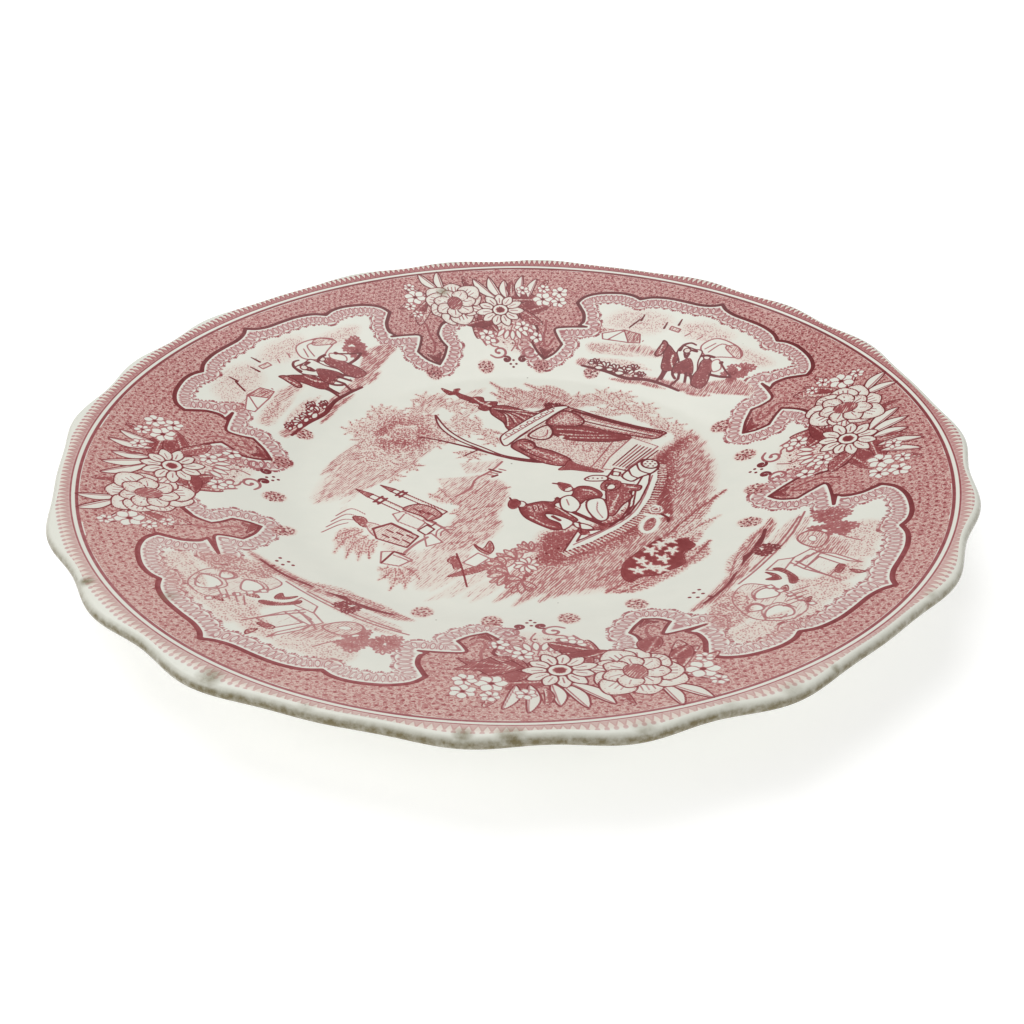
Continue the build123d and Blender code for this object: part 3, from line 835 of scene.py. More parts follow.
def centreScene():
    sheet.place()
    # sky
    sheet.shade([(-60, -12), (-57, 6), (-50, 24), (-40, 26), (-38, 8), (-46, 0), (-50, -8)], 0.38, 1, soft=4)
    streaks([(-60, 2, -45, 27), (-57, -4, -38, 22), (-60, -14, -42, 8), (-52, -10, -30, 12),
        (-40, 4, -26, 20)], 0.4, 1, 5)
    streaks([(-34, 44, -22, 57), (-30, 40, -24, 52), (-22, 47, -10, 60), (-18, 40, -8, 50)], 0.3, 1, 4)
    streaks([(-52, -14, -46, -6), (-51, -20, -50, -14)], 0.15, 1, 2)
    # two far peaks
    sheet.fill([(-17.5, 9.6), (-8, 11), (-3.5, 13), (-4, 9), (-9, 4.5), (-15, 3)], 0.27, 1, curve=False)
    sheet.fill([(-24, 0.5), (-16, 1.5), (-10, 3), (-5, 8), (-7, 2), (-12, -4), (-20, -9), (-22, -5)], 0.33, 1,
        curve=False)
    sheet.stroke([(-4, 10.5), (-7, 5.5), (-12, 0), (-13.5, -5), (-18, -10)], 0.75, "light")
    for k in range(4):
        sheet.stroke([(-8.5 + k * 1.2, 3 + k), (-6.5 + k * 1.2, 2.2 + k)], 0.6, "light")
    sheet.stroke([(-8, 6), (-4.5, 4)], 0.8)
    sheet.stroke([(-7, 1.4), (-5.5, 2.4)], 0.9)
    # hillside and brushwood behind the castle
    sheet.shade([(-24, -8), (-14, -3), (-6, 0), (-2, -5), (-3, -14), (-5, -20), (-4, -26), (-9, -34),
        (-16, -38), (-24, -36), (-20, -26),
                 (-16, -16)], 0.42, 1, soft=2)
    for spine, wide in (([(-18, -14), (-10, -8), (-1.5, -4.5)], 2.6),
        ([(-19, -19), (-11, -16), (-3.5, -14.5)], 2.4),
                        ([(-26, -8), (-22, -11), (-17, -14)], 1.8),
                        ([(-23, -5), (-20, -10), (-16, -15)], 1.8),
                        ([(-18, -24), (-11, -22), (-5, -17)], 2.6),
                        ([(-17, -29), (-10, -28), (-4, -23)], 2.6),
                        ([(-19, -34), (-13, -33), (-8, -29)], 2.4), ([(-15, -11), (-11, -6), (-8, -1)], 1.8)):
        frond(spine, wide, 1.5, 0.5, tone=0.38)
    # minarets
    for (ax, ay), (bx, by), wide in (((-41, -3), (-20.5, -18.5), 1.7), ((-48.5, -5), (-23.5, -24.5), 2.0)):
        dx, dy = bx - ax, by - ay
        length = math.hypot(dx, dy)
        nx, ny = -dy / length * wide / 2, dx / length * wide / 2
        def along(t, s=1.0):
            return (ax + dx * t + nx * s, ay + dy * t + ny * s)
        sheet.fill([along(0.18), along(1), along(1, -1), along(0.18, -1)], 0.0, 0, edge=0.5, curve=False)
        sheet.fill([along(0, 0), along(0.2, 1.1), along(0.2, -1.1)], 0.75, 0, edge=0.5, curve=False)
        for t in (0.30, 0.36):
            sheet.stroke([along(t, 1.9), along(t, -1.9)], 0.8, curve=False)
        sheet.stroke([along(0.3, 1.5), along(0.36, 1.5)], 0.5)
        sheet.stroke([along(0.3, -1.5), along(0.36, -1.5)], 0.5)
        sheet.shade([along(0.4, 1), along(1, 1), along(1, 0.3), along(0.4, 0.3)], 0.4, 1, soft=0.7)
    # domes and castle walls
    sheet.fill([(-33, -16.5), (-30.5, -14.2), (-27, -14.2), (-23, -17), (-21.6, -20), (-25, -22.5),
        (-27.5, -20)], 0.55, 1, edge=0.6)
    for k in range(3):
        sheet.stroke([(-30 + k * 2.2, -16 - k * 1.1), (-27.6 + k * 2.2, -18.4 - k * 1.0)], 0.55)
    sheet.fill([(-36, -19), (-33, -17.5), (-26, -23.5), (-28, -27), (-34, -23)], 0.1, 0, edge=0.5,
        ink="light", curve=False)
    sheet.stroke([(-34, -22.5), (-32.5, -19)], 0.5, "light")
    sheet.fill([(-47.5, -20.5), (-44.5, -20.6), (-43, -23), (-42.5, -25.5), (-44.5, -25)], 0.75, 0, edge=0.5)
    sheet.fill([(-43.5, -23.5), (-39, -25), (-38, -29), (-40.5, -30)], 0.3, 1, edge=0.5, ink="light")
    sheet.fill([(-41, -26.5), (-36, -23.8), (-27.6, -30.5), (-30.5, -36), (-39.5, -31.5)], 0.36, 1, edge=0.6,
        curve=False)
    sheet.stroke([(-41, -26.5), (-36, -23.8), (-30, -28.5)], 0.9, curve=False)
    for k in range(3):
        sheet.stroke([(-37 + k * 3.0, -27.0 - k * 1.4), (-35 + k * 3.0, -28.6 - k * 1.4)], 0.6)
        sheet.stroke([(-38 + k * 3.0, -29.4 - k * 1.4), (-36 + k * 3.0, -31 - k * 1.4)], 0.6)
    sheet.fill([(-28, -27.5), (-25.5, -24.8), (-23.2, -27), (-25.5, -30)], 0.0, 0, edge=0.55, curve=False)
    sheet.fill([(-26, -30), (-24, -29), (-20.5, -33.5), (-25, -35.5)], 0.0, 0, edge=0.5, ink="light",
        curve=False)
    sheet.stroke([(-25, -31), (-28, -34), (-31, -38.5)], 0.9, "light")
    for k in range(4):
        sheet.stroke([(-26.5 + k * 1.0, -22 - k * 0.4), (-20.5 + k * 0.6, -26 - k * 1.0)], 0.5, "light")
    for r in (2.4, 3.8):
        sheet.stroke([aimed((-19, -29.5), a, r) for a in (200, 150, 100, 60)], 0.5, "light")
    # hut and slope below the castle
    sheet.shade([(-38, -34), (-28, -38), (-22, -36), (-14, -38), (-10, -47), (-18, -52), (-26, -56),
        (-28, -48), (-30, -44)], 0.3, 1, soft=2.5)
    sheet.fill([(-37.5, -38), (-34, -37.8), (-28.5, -42), (-32, -45), (-37.2, -43.6)], 0.08, 1, edge=0.55,
        ink="light", curve=False)
    sheet.stroke([(-37, -43.5), (-34, -38), (-30.8, -39.4)], 0.7, curve=False)
    for k in range(3):
        sheet.stroke([(-34 + k * 1.6, -39.6 - k), (-31.6 + k * 1.6, -41 - k)], 0.5, "light")
    for base, tip in (((-44, -28), (-50.5, -39.5)), ((-42, -30), (-47, -42)), ((-40, -32), (-43.5, -42.5)),
                      ((-44, -27), (-51.5, -33)), ((-39, -33), (-40.5, -41.5))):
        mid = ((base[0] + tip[0]) / 2 - 1.4, (base[1] + tip[1]) / 2 + 1.2)
        frond([base, mid, tip], 1.9, 1.3, 0.5, tone=0.42)
    for base, tip in (((-34, -46), (-37, -52)), ((-33, -46), (-33.5, -57)), ((-32, -46), (-29.5, -56)),
        ((-31, -45), (-26, -51)),
                      ((-35, -45), (-37.5, -47))):
        frond([base, ((base[0] + tip[0]) / 2 + 0.8, (base[1] + tip[1]) / 2), tip], 1.7, 1.3, 0.5, tone=0.42)
    for k in range(4):
        sheet.stroke([(-44 - k * 1.5, -19 - k * 1.5), (-48.5 - k, -16 - k * 3), (-52.5 - k, -20 - k * 3)],
            0.45, "light")
    # water, two boats
    streaks([(-27, -54, -10, -34), (-23, -57, -6, -38), (-18, -60, -2, -42), (-12, -62, 2, -46),
        (-30, -50, -18, -38)], 0.26, 1, 3.5)
    sheet.fill([(-14.6, -43.4), (-10.4, -38.8), (-7.2, -41.2), (-11, -45.4)], 0.0, 0, edge=0.5, ink="light",
        curve=False)
    sheet.fill([(-18.4, -49.8), (-13, -46.2), (-8, -43.6), (-4.8, -40.6), (-6.4, -45), (-11.6, -48.4)], 0.72,
        0, edge=0.45)
    sheet.fill([(-18.8, -42.4), (-17, -40.2), (-15.6, -42.6), (-14.8, -45), (-16.6, -46.4), (-17.4, -44)],
        0.75, 0, edge=0.4)
    sheet.stroke([(-16.4, -39), (-14.6, -46), (-13, -54.5)], 0.55)
    sheet.fill([(-11.6, -34.8), (-9, -36.6), (-7.2, -33), (-6.0, -36.6), (-7.4, -39.4), (-9.8, -38)], 0.7, 0,
        edge=0.4)
    sheet.stroke([(-11.4, -34.6), (-9.4, -37.2), (-7.4, -38.6)], 0.5)
    # tree: trunk, second branch, then its crown
    sheet.shade([(-52, 32), (-46, 40), (-34, 42), (-26, 38), (-20, 34), (-26, 22), (-33, 12), (-41, 6),
        (-48, 12), (-50, 22)], 0.36, 0, soft=2)
    for k in range(24):
        at = aimed((-37, 28.5), k * 137.5, 11.5 * math.sqrt(1 - k / 25))
        plume(at, math.degrees(math.atan2(at[1] - 28.5, at[0] + 37)) + 12 * (-1) ** k, 6.4, 5, 150,
            0.3 + 0.014 * k)
    sheet.shade(ring((-37, 28.5), 5.6, 4.6), 0.52, 0, soft=2.4)
    for at, aim, size in (((-44, 35), 170, 7.5), ((-46, 27), 200, 6.5), ((-44, 19), 240, 7.5),
        ((-40, 12), 255, 7.5), ((-47, 15), 250, 5.0),
                          ((-33, 10), 265, 5.0), ((-28, 47), 80, 7.5), ((-23, 45), 40, 6.5),
                          ((-31, 43), 120, 6.0),
                          ((-21, 36), 5, 7.0), ((-18, 31), 340, 5.5), ((-22, 26), 300, 4.5),
                          ((-14, 17), 262, 5.5), ((-40, 40), 130, 5.5),
                          ((-11, 36), 190, 5), ((-8, 31), 250, 5.5), ((-6, 26), 230, 5.5),
                          ((-50, 31), 175, 6.0), ((-38, 3.5), 265, 4.5), ((-44, 42), 140, 5.0),
                          ((-17, 48), 20, 5.0), ((-30, 50), 95, 5.5)):
        plume(at, aim, size * 1.2, 5, 150, 0.34)
    sheet.fill([(8.6, 10.8), (2, 12.4), (-4, 14.6), (-10, 19.2), (-16, 23.8), (-21, 29.6), (-24, 35),
        (-26.6, 41), (-25.8, 36), (-23.8, 31),
                (-19.4, 25), (-14, 20.4), (-8.4, 16.2), (-3, 13), (2, 11.0), (8, 9.8)], 0.10, 0, edge=0.6)
    sheet.stroke([(8, 10.4), (1, 11.8), (-6, 14.6), (-14, 20.6)], 1.2, taper=0.6)
    sheet.stroke([(-5, 14.2), (-13, 18.6), (-20, 22), (-27, 25), (-31, 26)], 1.2, taper=0.5)
    sheet.stroke([(-12, 17.6), (-14.6, 15.5), (-16, 14)], 0.6)
    # palm fronds behind the tent
    for spine, wide in (([(10, 47), (0, 54), (-8.5, 63.5)], 4.4), ([(6, 46), (-1, 50), (-8, 56.5)], 3.6),
        ([(20, 48), (13, 55), (3.5, 62.5)], 4.8),
                        ([(15, 48), (8, 52), (0, 60)], 4.0)):
        frond(spine, wide, 1.3, 0.55, tone=0.42)
    sheet.shade([(-4, 47), (6, 52), (18, 54), (24, 47), (16, 44), (4, 46)], 0.45, 1, soft=2)
    # foliage to the right of the tent
    for at, aim, size in (((27, 47), 100, 7), ((23, 50), 130, 6), ((30, 51), 70, 6.5), ((33, 46), 60, 7),
        ((38, 41), 60, 6.5), ((41, 37), 40, 6.5),
                          ((45, 33), 30, 7), ((36, 50), 50, 5.5), ((43, 42), 50, 5.5), ((50, 30), 20, 6),
                          ((52, 26), 350, 6), ((31, 40), 80, 6)):
        plume(at, aim, size * 1.2, 5, 140, 0.32)
    # ground: hatched bank, dark band along the rug
    sheet.shade([(58, 28), (54, 22), (48, 12), (46, 0), (44, -10), (38, -22), (30, -30), (14, -42), (6, -38),
        (2, -45), (0, -56), (12, -58), (28, -54),
                 (46, -36), (54, -22), (60, -6), (62, 10)], 0.5, 1, soft=4)
    streaks([(46, 2, 62, 22), (47, -6, 63, 11), (44, -14, 61, 0), (50, 10, 60, 26), (42, -20, 58, -6),
        (38, -26, 52, -12), (34, -30, 48, -18)], 0.5, 1, 4)
    streaks([(-6, -62, 14, -42), (-1, -64, 18, -44), (6, -62, 26, -40), (10, -60, 30, -40),
        (-4, -54, 10, -38), (16, -58, 34, -38), (20, -50, 38, -32)], 0.5, 1, 4)
    sheet.shade([(57, 25), (54, 19), (50, 12), (49, 2), (47.5, -8), (44, -18), (38, -27), (28, -35),
        (16, -43), (8, -44), (6, -36), (8, -29), (15, -27),
                 (24, -24), (34, -14), (38, -4), (41, 6), (43, 13), (47, 18), (52, 23)], 0.74, 0, soft=4.0,
                 lower=True)
    sheet.shade([(44, -4), (47, -12), (46, -24), (43, -22), (43, -14)], 0.75, 1, soft=1.6)
    sheet.shade([(8, -30), (14, -28), (13, -36), (12, -41), (7, -46), (3, -52), (0, -54), (4, -44), (7, -38)],
        0.7, 0, soft=1.6)
    for k in range(46):  # dark clods on the bank
        t = k / 45
        x = 52 - 44 * t + 4 * math.sin(k * 2.3)
        y = 16 - 58 * t - math.sin(math.pi * t) + 3 * math.sin(k * 1.3)
        sheet.dot((x, y), 0.7 + 0.25 * math.sin(k * 3.1))
    # tent: pole, finials, fluted dome
    sheet.fill([(-25.5, 59), (-21.5, 57), (-21, 58.6), (-19, 59), (-19.6, 56.6), (-17, 54.6), (-13.4, 52),
        (-15, 50.6), (-18.6, 52.6), (-20.4, 55), (-22.8, 55)], 0.85, 0, edge=0.4)
    sheet.fill([(-15.6, 51.6), (-13.6, 53.6), (-11, 53.2), (-10.4, 50.6), (-8, 50.4), (-6, 50), (-6.6, 47),
        (-7.6, 45.4), (-10, 43.8), (-12.2, 45.6), (-12, 48.4), (-15, 49.8)],
               0.8, 0, edge=0.5, inner=0.1)
    for pts in ([(-13.8, 52.6), (-11.6, 49.6)], [(-11.4, 49.6), (-8, 47)], [(-10.6, 47.8), (-8.6, 50)]):
        sheet.stroke(pts, 0.4, "none")
    sheet.fill([(-8, 46.4), (-4, 47.6), (0, 46), (4, 43.6), (7.6, 43.2), (10.8, 45.4), (12, 44.2), (9, 39.5),
        (4, 35), (-0.6, 30.6), (-2.4, 31.6), (-3.6, 35.6), (-6, 39), (-7.8, 42)],
               0.7, 0, edge=0.7, inner=0.15)
    for tip in ((-2.2, 33.5), (0.6, 35.6), (3.4, 38), (6, 40.4), (8.4, 42.6)):
        mid = (-5 + (tip[0] + 8) * 0.35, 44.4 + (tip[1] - 44) * 0.32)
        sheet.stroke([(-7.4, 45.4), mid, tip], 0.42, "none")
        sheet.stroke([(-7.2, 45.0), (mid[0] - 0.3, mid[1] - 0.8), (tip[0] - 0.7, tip[1] - 0.9)], 0.55)
    # right-hand foliage of the valance, then the patterned band
    clump((13.4, 46.2), 2.4, 6, 2.2, 0.5, "dark")
    sheet.fill([(-4.2, 27), (0.5, 33.2), (6, 39.8), (11, 44.6), (14.2, 46.6), (18.4, 46.4), (13.2, 40.4),
        (7.4, 33.6), (2.0, 27), (-2.6, 20.4), (-4.4, 23)], 0.03, 0, edge=0.6)
    sheet.stroke([(-1.6, 21.8), (3.6, 28.4), (9, 35), (14.8, 41.4), (18, 45.6)], 0.55)
    sheet.stroke([(-3.6, 24.2), (1.4, 30), (7, 36.8), (13.2, 43.4)], 0.5, "light")
    for k in range(7):
        p = (-2.0 + 2.35 * k, 27.4 + 2.75 * k)
        sheet.stroke([aimed(p, a, 0.95) for a in (0, 72, 144, 216, 288, 350)], 0.45, "light")
        sheet.dot((p[0] + 1.2, p[1] + 1.3), 0.7)
    # canopy: inside stipple, drapes, lobes, swag
    sheet.fill([(3, 26.5), (9, 35), (20, 44), (48, 28), (45, 24), (40, 18), (31, 9), (27, 4.6), (17, 11),
        (3, 20)], 0.40, 0, edge=0.0)
    for at, aim in (((30, 18), 200), ((24, 16), 120), ((34, 21), 60), ((20, 21), 160)):
        plume(at, aim, 4.6, 3, 90, 0.45)
    sheet.stroke([(31.5, 22.5), (27, 13), (23.6, 6.6)], 0.5, "light")
    sheet.fill([(17.6, 45.4), (20.8, 44.6), (30, 38.6), (40, 33), (49, 28.8), (48, 26.6), (45, 24.6),
        (38, 26.8), (30, 29.6), (22, 33.4), (18, 36), (11, 36), (12.6, 40)], 0.62, 0, edge=0.7)
    sheet.shade([(20, 41), (30, 35.4), (40, 30), (46, 26.6), (40, 27.6), (30, 31.2), (22, 36)], 0.3, 1,
        soft=1.2, lower=True)
    sheet.stroke([(19.6, 43.8), (30, 37.2), (40, 31.8), (48, 28)], 1.1, bulge=0.3)
    sheet.stroke([(22, 37), (32, 32), (45, 26.2)], 0.7)
    sheet.stroke([(21, 39.6), (32, 34), (44, 28.6)], 0.5, "light")
    sheet.fill([(10.5, 35.4), (13.4, 40.6), (17, 43.6), (21, 41), (23, 37), (22, 34), (18, 32.8), (13, 33.2)],
        0.5, 0, edge=0.75, inner=0.2)
    sheet.fill([(12.4, 33), (18, 33), (24, 32.6), (31, 29.4), (38, 25.6), (33, 23.2), (26, 22.8), (19, 23.6),
        (14, 26.2), (12.4, 29)], 0.84, 0, edge=0.6)
    for pts in ([(14, 31), (20, 30.4), (27, 28.6)], [(15, 28), (22, 27), (31, 26.8)],
            [(18, 25.4), (25, 25.2), (33, 25)]):
        sheet.stroke(pts, 0.45, "none", taper=0.6)
    sheet.dot((15.2, 25.9), 1.5, "none")
    sheet.fill([(4.4, 26.6), (7.2, 31), (10.6, 33.6), (12.2, 31.4), (12.4, 28), (11, 25), (8, 24.2)], 0.32, 0,
        edge=0.8)
    sheet.stroke([(5.6, 26.6), (8.2, 25.8), (10.4, 27.4), (10.8, 30.6)], 0.5, "light")
    sheet.fill([(-1, 19.6), (0.6, 23), (3, 24.6), (6, 22.6), (7, 19.6), (12, 16.8), (16.8, 12.6),
        (17.4, 10.4), (15, 8), (11, 8.8), (6.6, 11.4), (2.4, 15.6)], 0.62, 0, edge=0.75, inner=0.15)
    sheet.stroke([(1.4, 19.4), (3.6, 17.6), (6.6, 19.4), (5.4, 22.4), (3, 23)], 0.7)
    sheet.stroke([(2, 18), (7, 13.6), (12, 10.4)], 0.6)
    sheet.stroke([(4, 19.6), (9.6, 15), (15, 11.4)], 0.45, "none")
    sheet.fill([(17, 11), (20, 8.6), (27.4, 4.4), (24, 4), (18, 5.4), (13.6, 5.4), (15.6, 8)], 0.8, 0,
        edge=0.45)
    # screens behind the rug
    sheet.fill([(27, 6), (30, 13), (38, 25.4), (46, 19.6), (38, 9.6), (33.4, 4.6)], 0.16, 0, edge=0.5,
        ink="light", curve=False)
    for k in range(7):
        sheet.stroke([(30.6 + k * 1.0, 8.0 - k * 0.35), (39.4 + k * 1.05, 20.8 - k * 0.62)], 0.5,
            "light" if k % 2 else "dark", curve=False)
    sheet.fill([(28.4, 1), (31, 6.4), (34.8, 4.6), (33.6, -0.6), (30.4, -1)], 0.12, 0, edge=0.6, curve=False)
    sheet.fill(ring((31.3, 3), 1.6, turn=30, count=4), 0.0, 0, edge=0.55, curve=False)
    sheet.fill([(21.4, 0), (24, 2), (28, 1.6), (28, -0.8), (23, -1.2)], 0.1, 0, edge=0.55)
    for k in range(4):
        sheet.dot((22.6 + k * 1.4, 0.2 + 0.3 * (k % 2)), 0.7)
    # rug with its fringe
    outer = [(13.2, -39), (18.6, -26.4), (24, -28), (31, -21.6), (33.6, -16), (36, -3), (36.6, 1.4), (42, 6),
        (45, 8.6), (44, 0), (40.6, -11), (36.4, -19.6), (30, -27), (22, -33.6)]
    sheet.fill(outer, 0.0, 0, edge=0.6, curve=False)
    sheet.fill([(17.4, -33.4), (19.4, -28.4), (24.4, -27.4), (31.6, -22), (35, -15), (37, -4), (40, 3),
        (42, 4), (40.8, -2.6), (37.6, -11.4), (33.6, -19.4), (27.4, -26)], 0.0, 0, edge=0.55, curve=False)
    sheet.stroke([(16.4, -35), (26.6, -27.2), (33.6, -20.4), (38.2, -11.4), (42.4, 2)], 0.5, "light")
    edgeLine = smooth([(13.2, -39), (22, -33.6), (30, -27), (36.4, -19.6), (40.6, -11), (44, 0), (45, 8.6)],
        parts=8)
    for k in range(0, len(edgeLine) - 1):
        (px, py), (qx, qy) = edgeLine[k], edgeLine[k + 1]
        length = math.hypot(qx - px, qy - py)
        ux, uy = (qx - px) / length, (qy - py) / length
        sheet.stroke([(px - uy * 0.2, py + ux * 0.2), (px + uy * 2.1 + ux * 0.5, py - ux * 2.1 + uy * 0.5)],
            0.45, "none", curve=False)
    sheet.fill([(30.8, -18.4), (35.6, -4), (37, 0.6), (34, 2), (30.6, -2), (27, -8), (27.6, -16)], 0.0, 0)
    # cushion with a round end
    sheet.fill([(33, 1.4), (35.4, 5.6), (38.6, 9.6), (41, 11.6), (45, 8.4), (43, 4), (38.6, 1), (35.6, -1.4)],
        0.02, 0, edge=0.65)
    sheet.stroke([(38.2, 9.0), (38.8, 5), (41.6, 3)], 0.6)
    sheet.stroke([(35.4, 5.4), (36, 2), (38, 0.4)], 0.55)
    sheet.fill(ring((42.4, 8.9), 2.7), 0.12, 0, edge=0.75)
    for a in range(0, 360, 60):
        sheet.dot(aimed((42.4, 8.9), a, 1.5), 0.75)
    sheet.dot((42.4, 8.9), 0.8)
    # turbaned figure seated at the back
    sheet.fill([(27.6, -6), (29, -1.4), (31.6, -2.4), (36, -3.4), (38.4, -4), (37.4, -6.6), (34.6, -7),
        (35, -10.4), (31.6, -15), (28.8, -20.2), (26.4, -19), (27.2, -13)], 0.7, 0, edge=0.6)
    sheet.stroke([(31, -9), (29.4, -14), (28, -18.4)], 0.5, "none")
    sheet.stroke([(34, -4.6), (36.8, -5.2)], 0.5, "none")
    sheet.fill([(26.4, -6.2), (26.6, -2.6), (29, -0.8), (32, -1.4), (32.2, -4), (30, -6.6)], 0.75, 0,
        edge=0.5)
    sheet.fill(ring((28.9, -4.4), 1.7), 0.05, 0, edge=0.5)
    sheet.stroke([(27.4, -5.8), (28.8, -3.2), (31.2, -3)], 0.55)
    sheet.fill([(21.6, -12.4), (25, -10.8), (26.8, -12.4), (27.4, -18.6), (26.6, -22.4), (24, -22.6),
        (21.4, -17.4)], 0.0, 0, edge=0.6)
    sheet.stroke([(24.6, -13), (24.2, -17.4), (25.6, -21.4)], 0.45, "light")
    sheet.fill([(24.6, -25.4), (27.2, -24.2), (26.8, -26.6), (24.8, -27.4)], 0.85, 0, edge=0.4)
    # figure seated in the middle
    sheet.fill([(19, -4.6), (22.6, -4.4), (25.8, -7.4), (25.6, -10.4), (21.6, -11.4), (19, -14.2),
        (16.4, -12), (17.4, -8.4)], 0.68, 0, edge=0.55, inner=0.25)
    sheet.stroke([(20.4, -6), (23.4, -7), (24.6, -9)], 0.45, "none")
    sheet.fill(ring((15.8, -5.4), 1.7), 0.12, 0, edge=0.5)
    sheet.fill([(13.4, -4.4), (13.2, -2), (15.2, -2.4), (17, -3.6), (15.6, -5.2), (14.4, -6.4)], 0.85, 0,
        edge=0.4)
    sheet.stroke([(13.8, -3), (11.6, -2.4)], 0.7)
    sheet.fill([(14, -10.6), (17, -9.4), (19.4, -14), (17.4, -18.4), (14.2, -17), (13.4, -13.4)], 0.0, 0,
        edge=0.55)
    sheet.stroke([(15.4, -11.4), (16, -14.6)], 0.45, "light")
    sheet.stroke([(17.4, -18.6), (21, -21.6), (25.4, -25)], 1.5)
    # standing figure
    sheet.fill([(1.4, -15.6), (4, -14), (8, -12.6), (11.4, -12.8), (12.6, -10.4), (13.4, -12.2),
        (11.6, -14.6), (14.6, -18), (18, -22), (17, -23), (12.4, -20.4), (9.6, -18.4), (9, -20.4),
                (12, -24), (14, -26.6), (11, -27.4), (6, -24), (2.6, -20.4)], 0.7, 0, edge=0.6, inner=0.25)
    sheet.shade([(4.4, -15), (8.6, -13.8), (9.4, -16.4), (7.4, -18.6), (4.6, -18)], 0.55, 0, soft=1.0,
        lower=True)
    for k in range(3):
        sheet.stroke([(5.0 + k * 1.6, -14.4 + k * 0.3), (5.8 + k * 1.4, -18.2 + k * 0.4)], 0.4, "dark")
    sheet.stroke([(12.2, -15.8), (16.4, -20.6)], 0.4, "none")
    sheet.stroke([(4.4, -20.6), (8.4, -24.6), (11.6, -26.2)], 0.4, "none", taper=0.4)
    sheet.fill([(8.8, -19.4), (11.6, -19.6), (15.8, -22.2), (16.8, -24.4), (13.8, -27.6), (12.8, -24.2),
        (9.8, -22)], 0.0, 0, edge=0.55)
    sheet.stroke([(11, -20.6), (13, -22.6)], 1.1)
    sheet.fill([(17, -23.6), (21, -25), (22.6, -27), (20, -27.4), (17.6, -26.2)], 0.03, 0, edge=0.5)
    sheet.fill([(18.4, -28.4), (20.4, -27.6), (21.2, -29.4), (19.2, -30)], 0.88, 0, edge=0.4)
    sheet.stroke([(18.6, -23.6), (19, -29)], 0.6)
    sheet.fill(ring((1.6, -14.0), 1.7), 0.1, 0, edge=0.45)
    sheet.fill([(-2, -14.6), (-1.4, -11.8), (0.4, -11.4), (1.6, -13.4), (0.6, -15.8), (-1, -16.4)], 0.88, 0,
        edge=0.45)
    sheet.stroke([(-1, -11.8), (-1.6, -10.4)], 0.6)
    # jug with a looped handle
    sheet.stroke([(41.4, -15.6), (40.2, -16.6), (40.6, -18.2), (42.6, -18), (42.8, -16), (41.4, -15)], 1.5,
        "none")
    sheet.stroke([(41.4, -15.6), (40.2, -16.6), (40.6, -18.2), (42.6, -18), (42.8, -16)], 0.45, "light")
    sheet.stroke([(38.2, -19.6), (41, -20.8), (44.6, -20.2)], 1.7, "none")
    sheet.stroke(ring((39, -24.8), 2.2, 4.4, -24) + [ring((39, -24.8), 2.2, 4.4, -24)[0]], 1.6, "none")
    sheet.stroke(ring((39, -24.8), 1.3, 3.4, -24) + [ring((39, -24.8), 1.3, 3.4, -24)[0]], 0.45, "light")
    sheet.stroke([(43, -19.6), (44.6, -21.6), (44.4, -23.4)], 1.0)
    # leafy bank and bush
    for spine, wide in (([(24, -58), (33, -50), (41, -40)], 3.2), ([(22, -52), (32, -44), (40, -36)], 3.0),
        ([(34, -54), (44, -46), (52, -40)], 3.0),
                        ([(42, -40), (50, -30), (57, -24)], 3.2), ([(46, -46), (51, -40), (55, -34)], 2.6),
                        ([(28, -58), (35, -53), (42, -48)], 2.8)):
        frond(spine, wide * 1.15, 1.7, 0.8, tone=0.5)
    sheet.fill([(29, -50), (30, -44), (34, -39), (39, -34), (45, -29.6), (49.6, -29), (49, -33), (50.6, -36),
        (47, -40), (46.6, -45), (42, -48), (39, -50), (34, -50.6), (31, -53)], 0.95, 0, edge=0.5)
    for k, (x, y) in enumerate(((35, -43), (38, -38), (41, -35), (44, -33), (37, -46), (41, -42), (44, -38),
            (40, -47), (33.5, -47.5))):
        for j in range(5):
            a = 200 * k + 72 * j
            sheet.stroke([aimed((x, y), a, 0.6), aimed((x, y), a, 1.5 + 0.9 * (((k + j) * 7) % 3) / 2)], 1.1,
                "none", curve=False, taper=0.3)
    frond([(42, -32), (50, -22), (56, -15), (63.5, -7.5)], 3.4, 1.7, 0.8, tone=0.42)
    frond([(46, -32), (53, -26), (60, -21)], 2.6, 1.6, 0.5, tone=0.3)
    # fern clumps and pale flower near the lower middle
    for at, aim, size in (((0, -42), 150, 6), ((-3, -45), 190, 6), ((-2, -49), 215, 6), ((2, -52), 240, 6),
            ((4, -38), 110, 5)):
        fan(at, aim, size, 7, 160, 0.45, 0.5, "light", 0.34)
    for k in range(9):
        p = aimed((3.2, -44.5), 40 * k, 3.8)
        sheet.fill(petal((3.2, -44.5), p, 1.9), 0.12, 0, edge=0.45, ink="light")
    streaks([(-20, -58, -8, -48), (-24, -62, -10, -52), (-14, -60, -4, -50)], 0.2, 1, 3)


for one in printed["sprays"]:
    spray(one["turn"])
print("sprays drawn")
spearTips()
frontLeaves()
vignetteCamp(0)
vignetteCamp(91.6)
vignetteCastle(0)
vignetteCastle(-88.0)
print("vignettes drawn")
centreScene()
print("centre drawn")


# materials


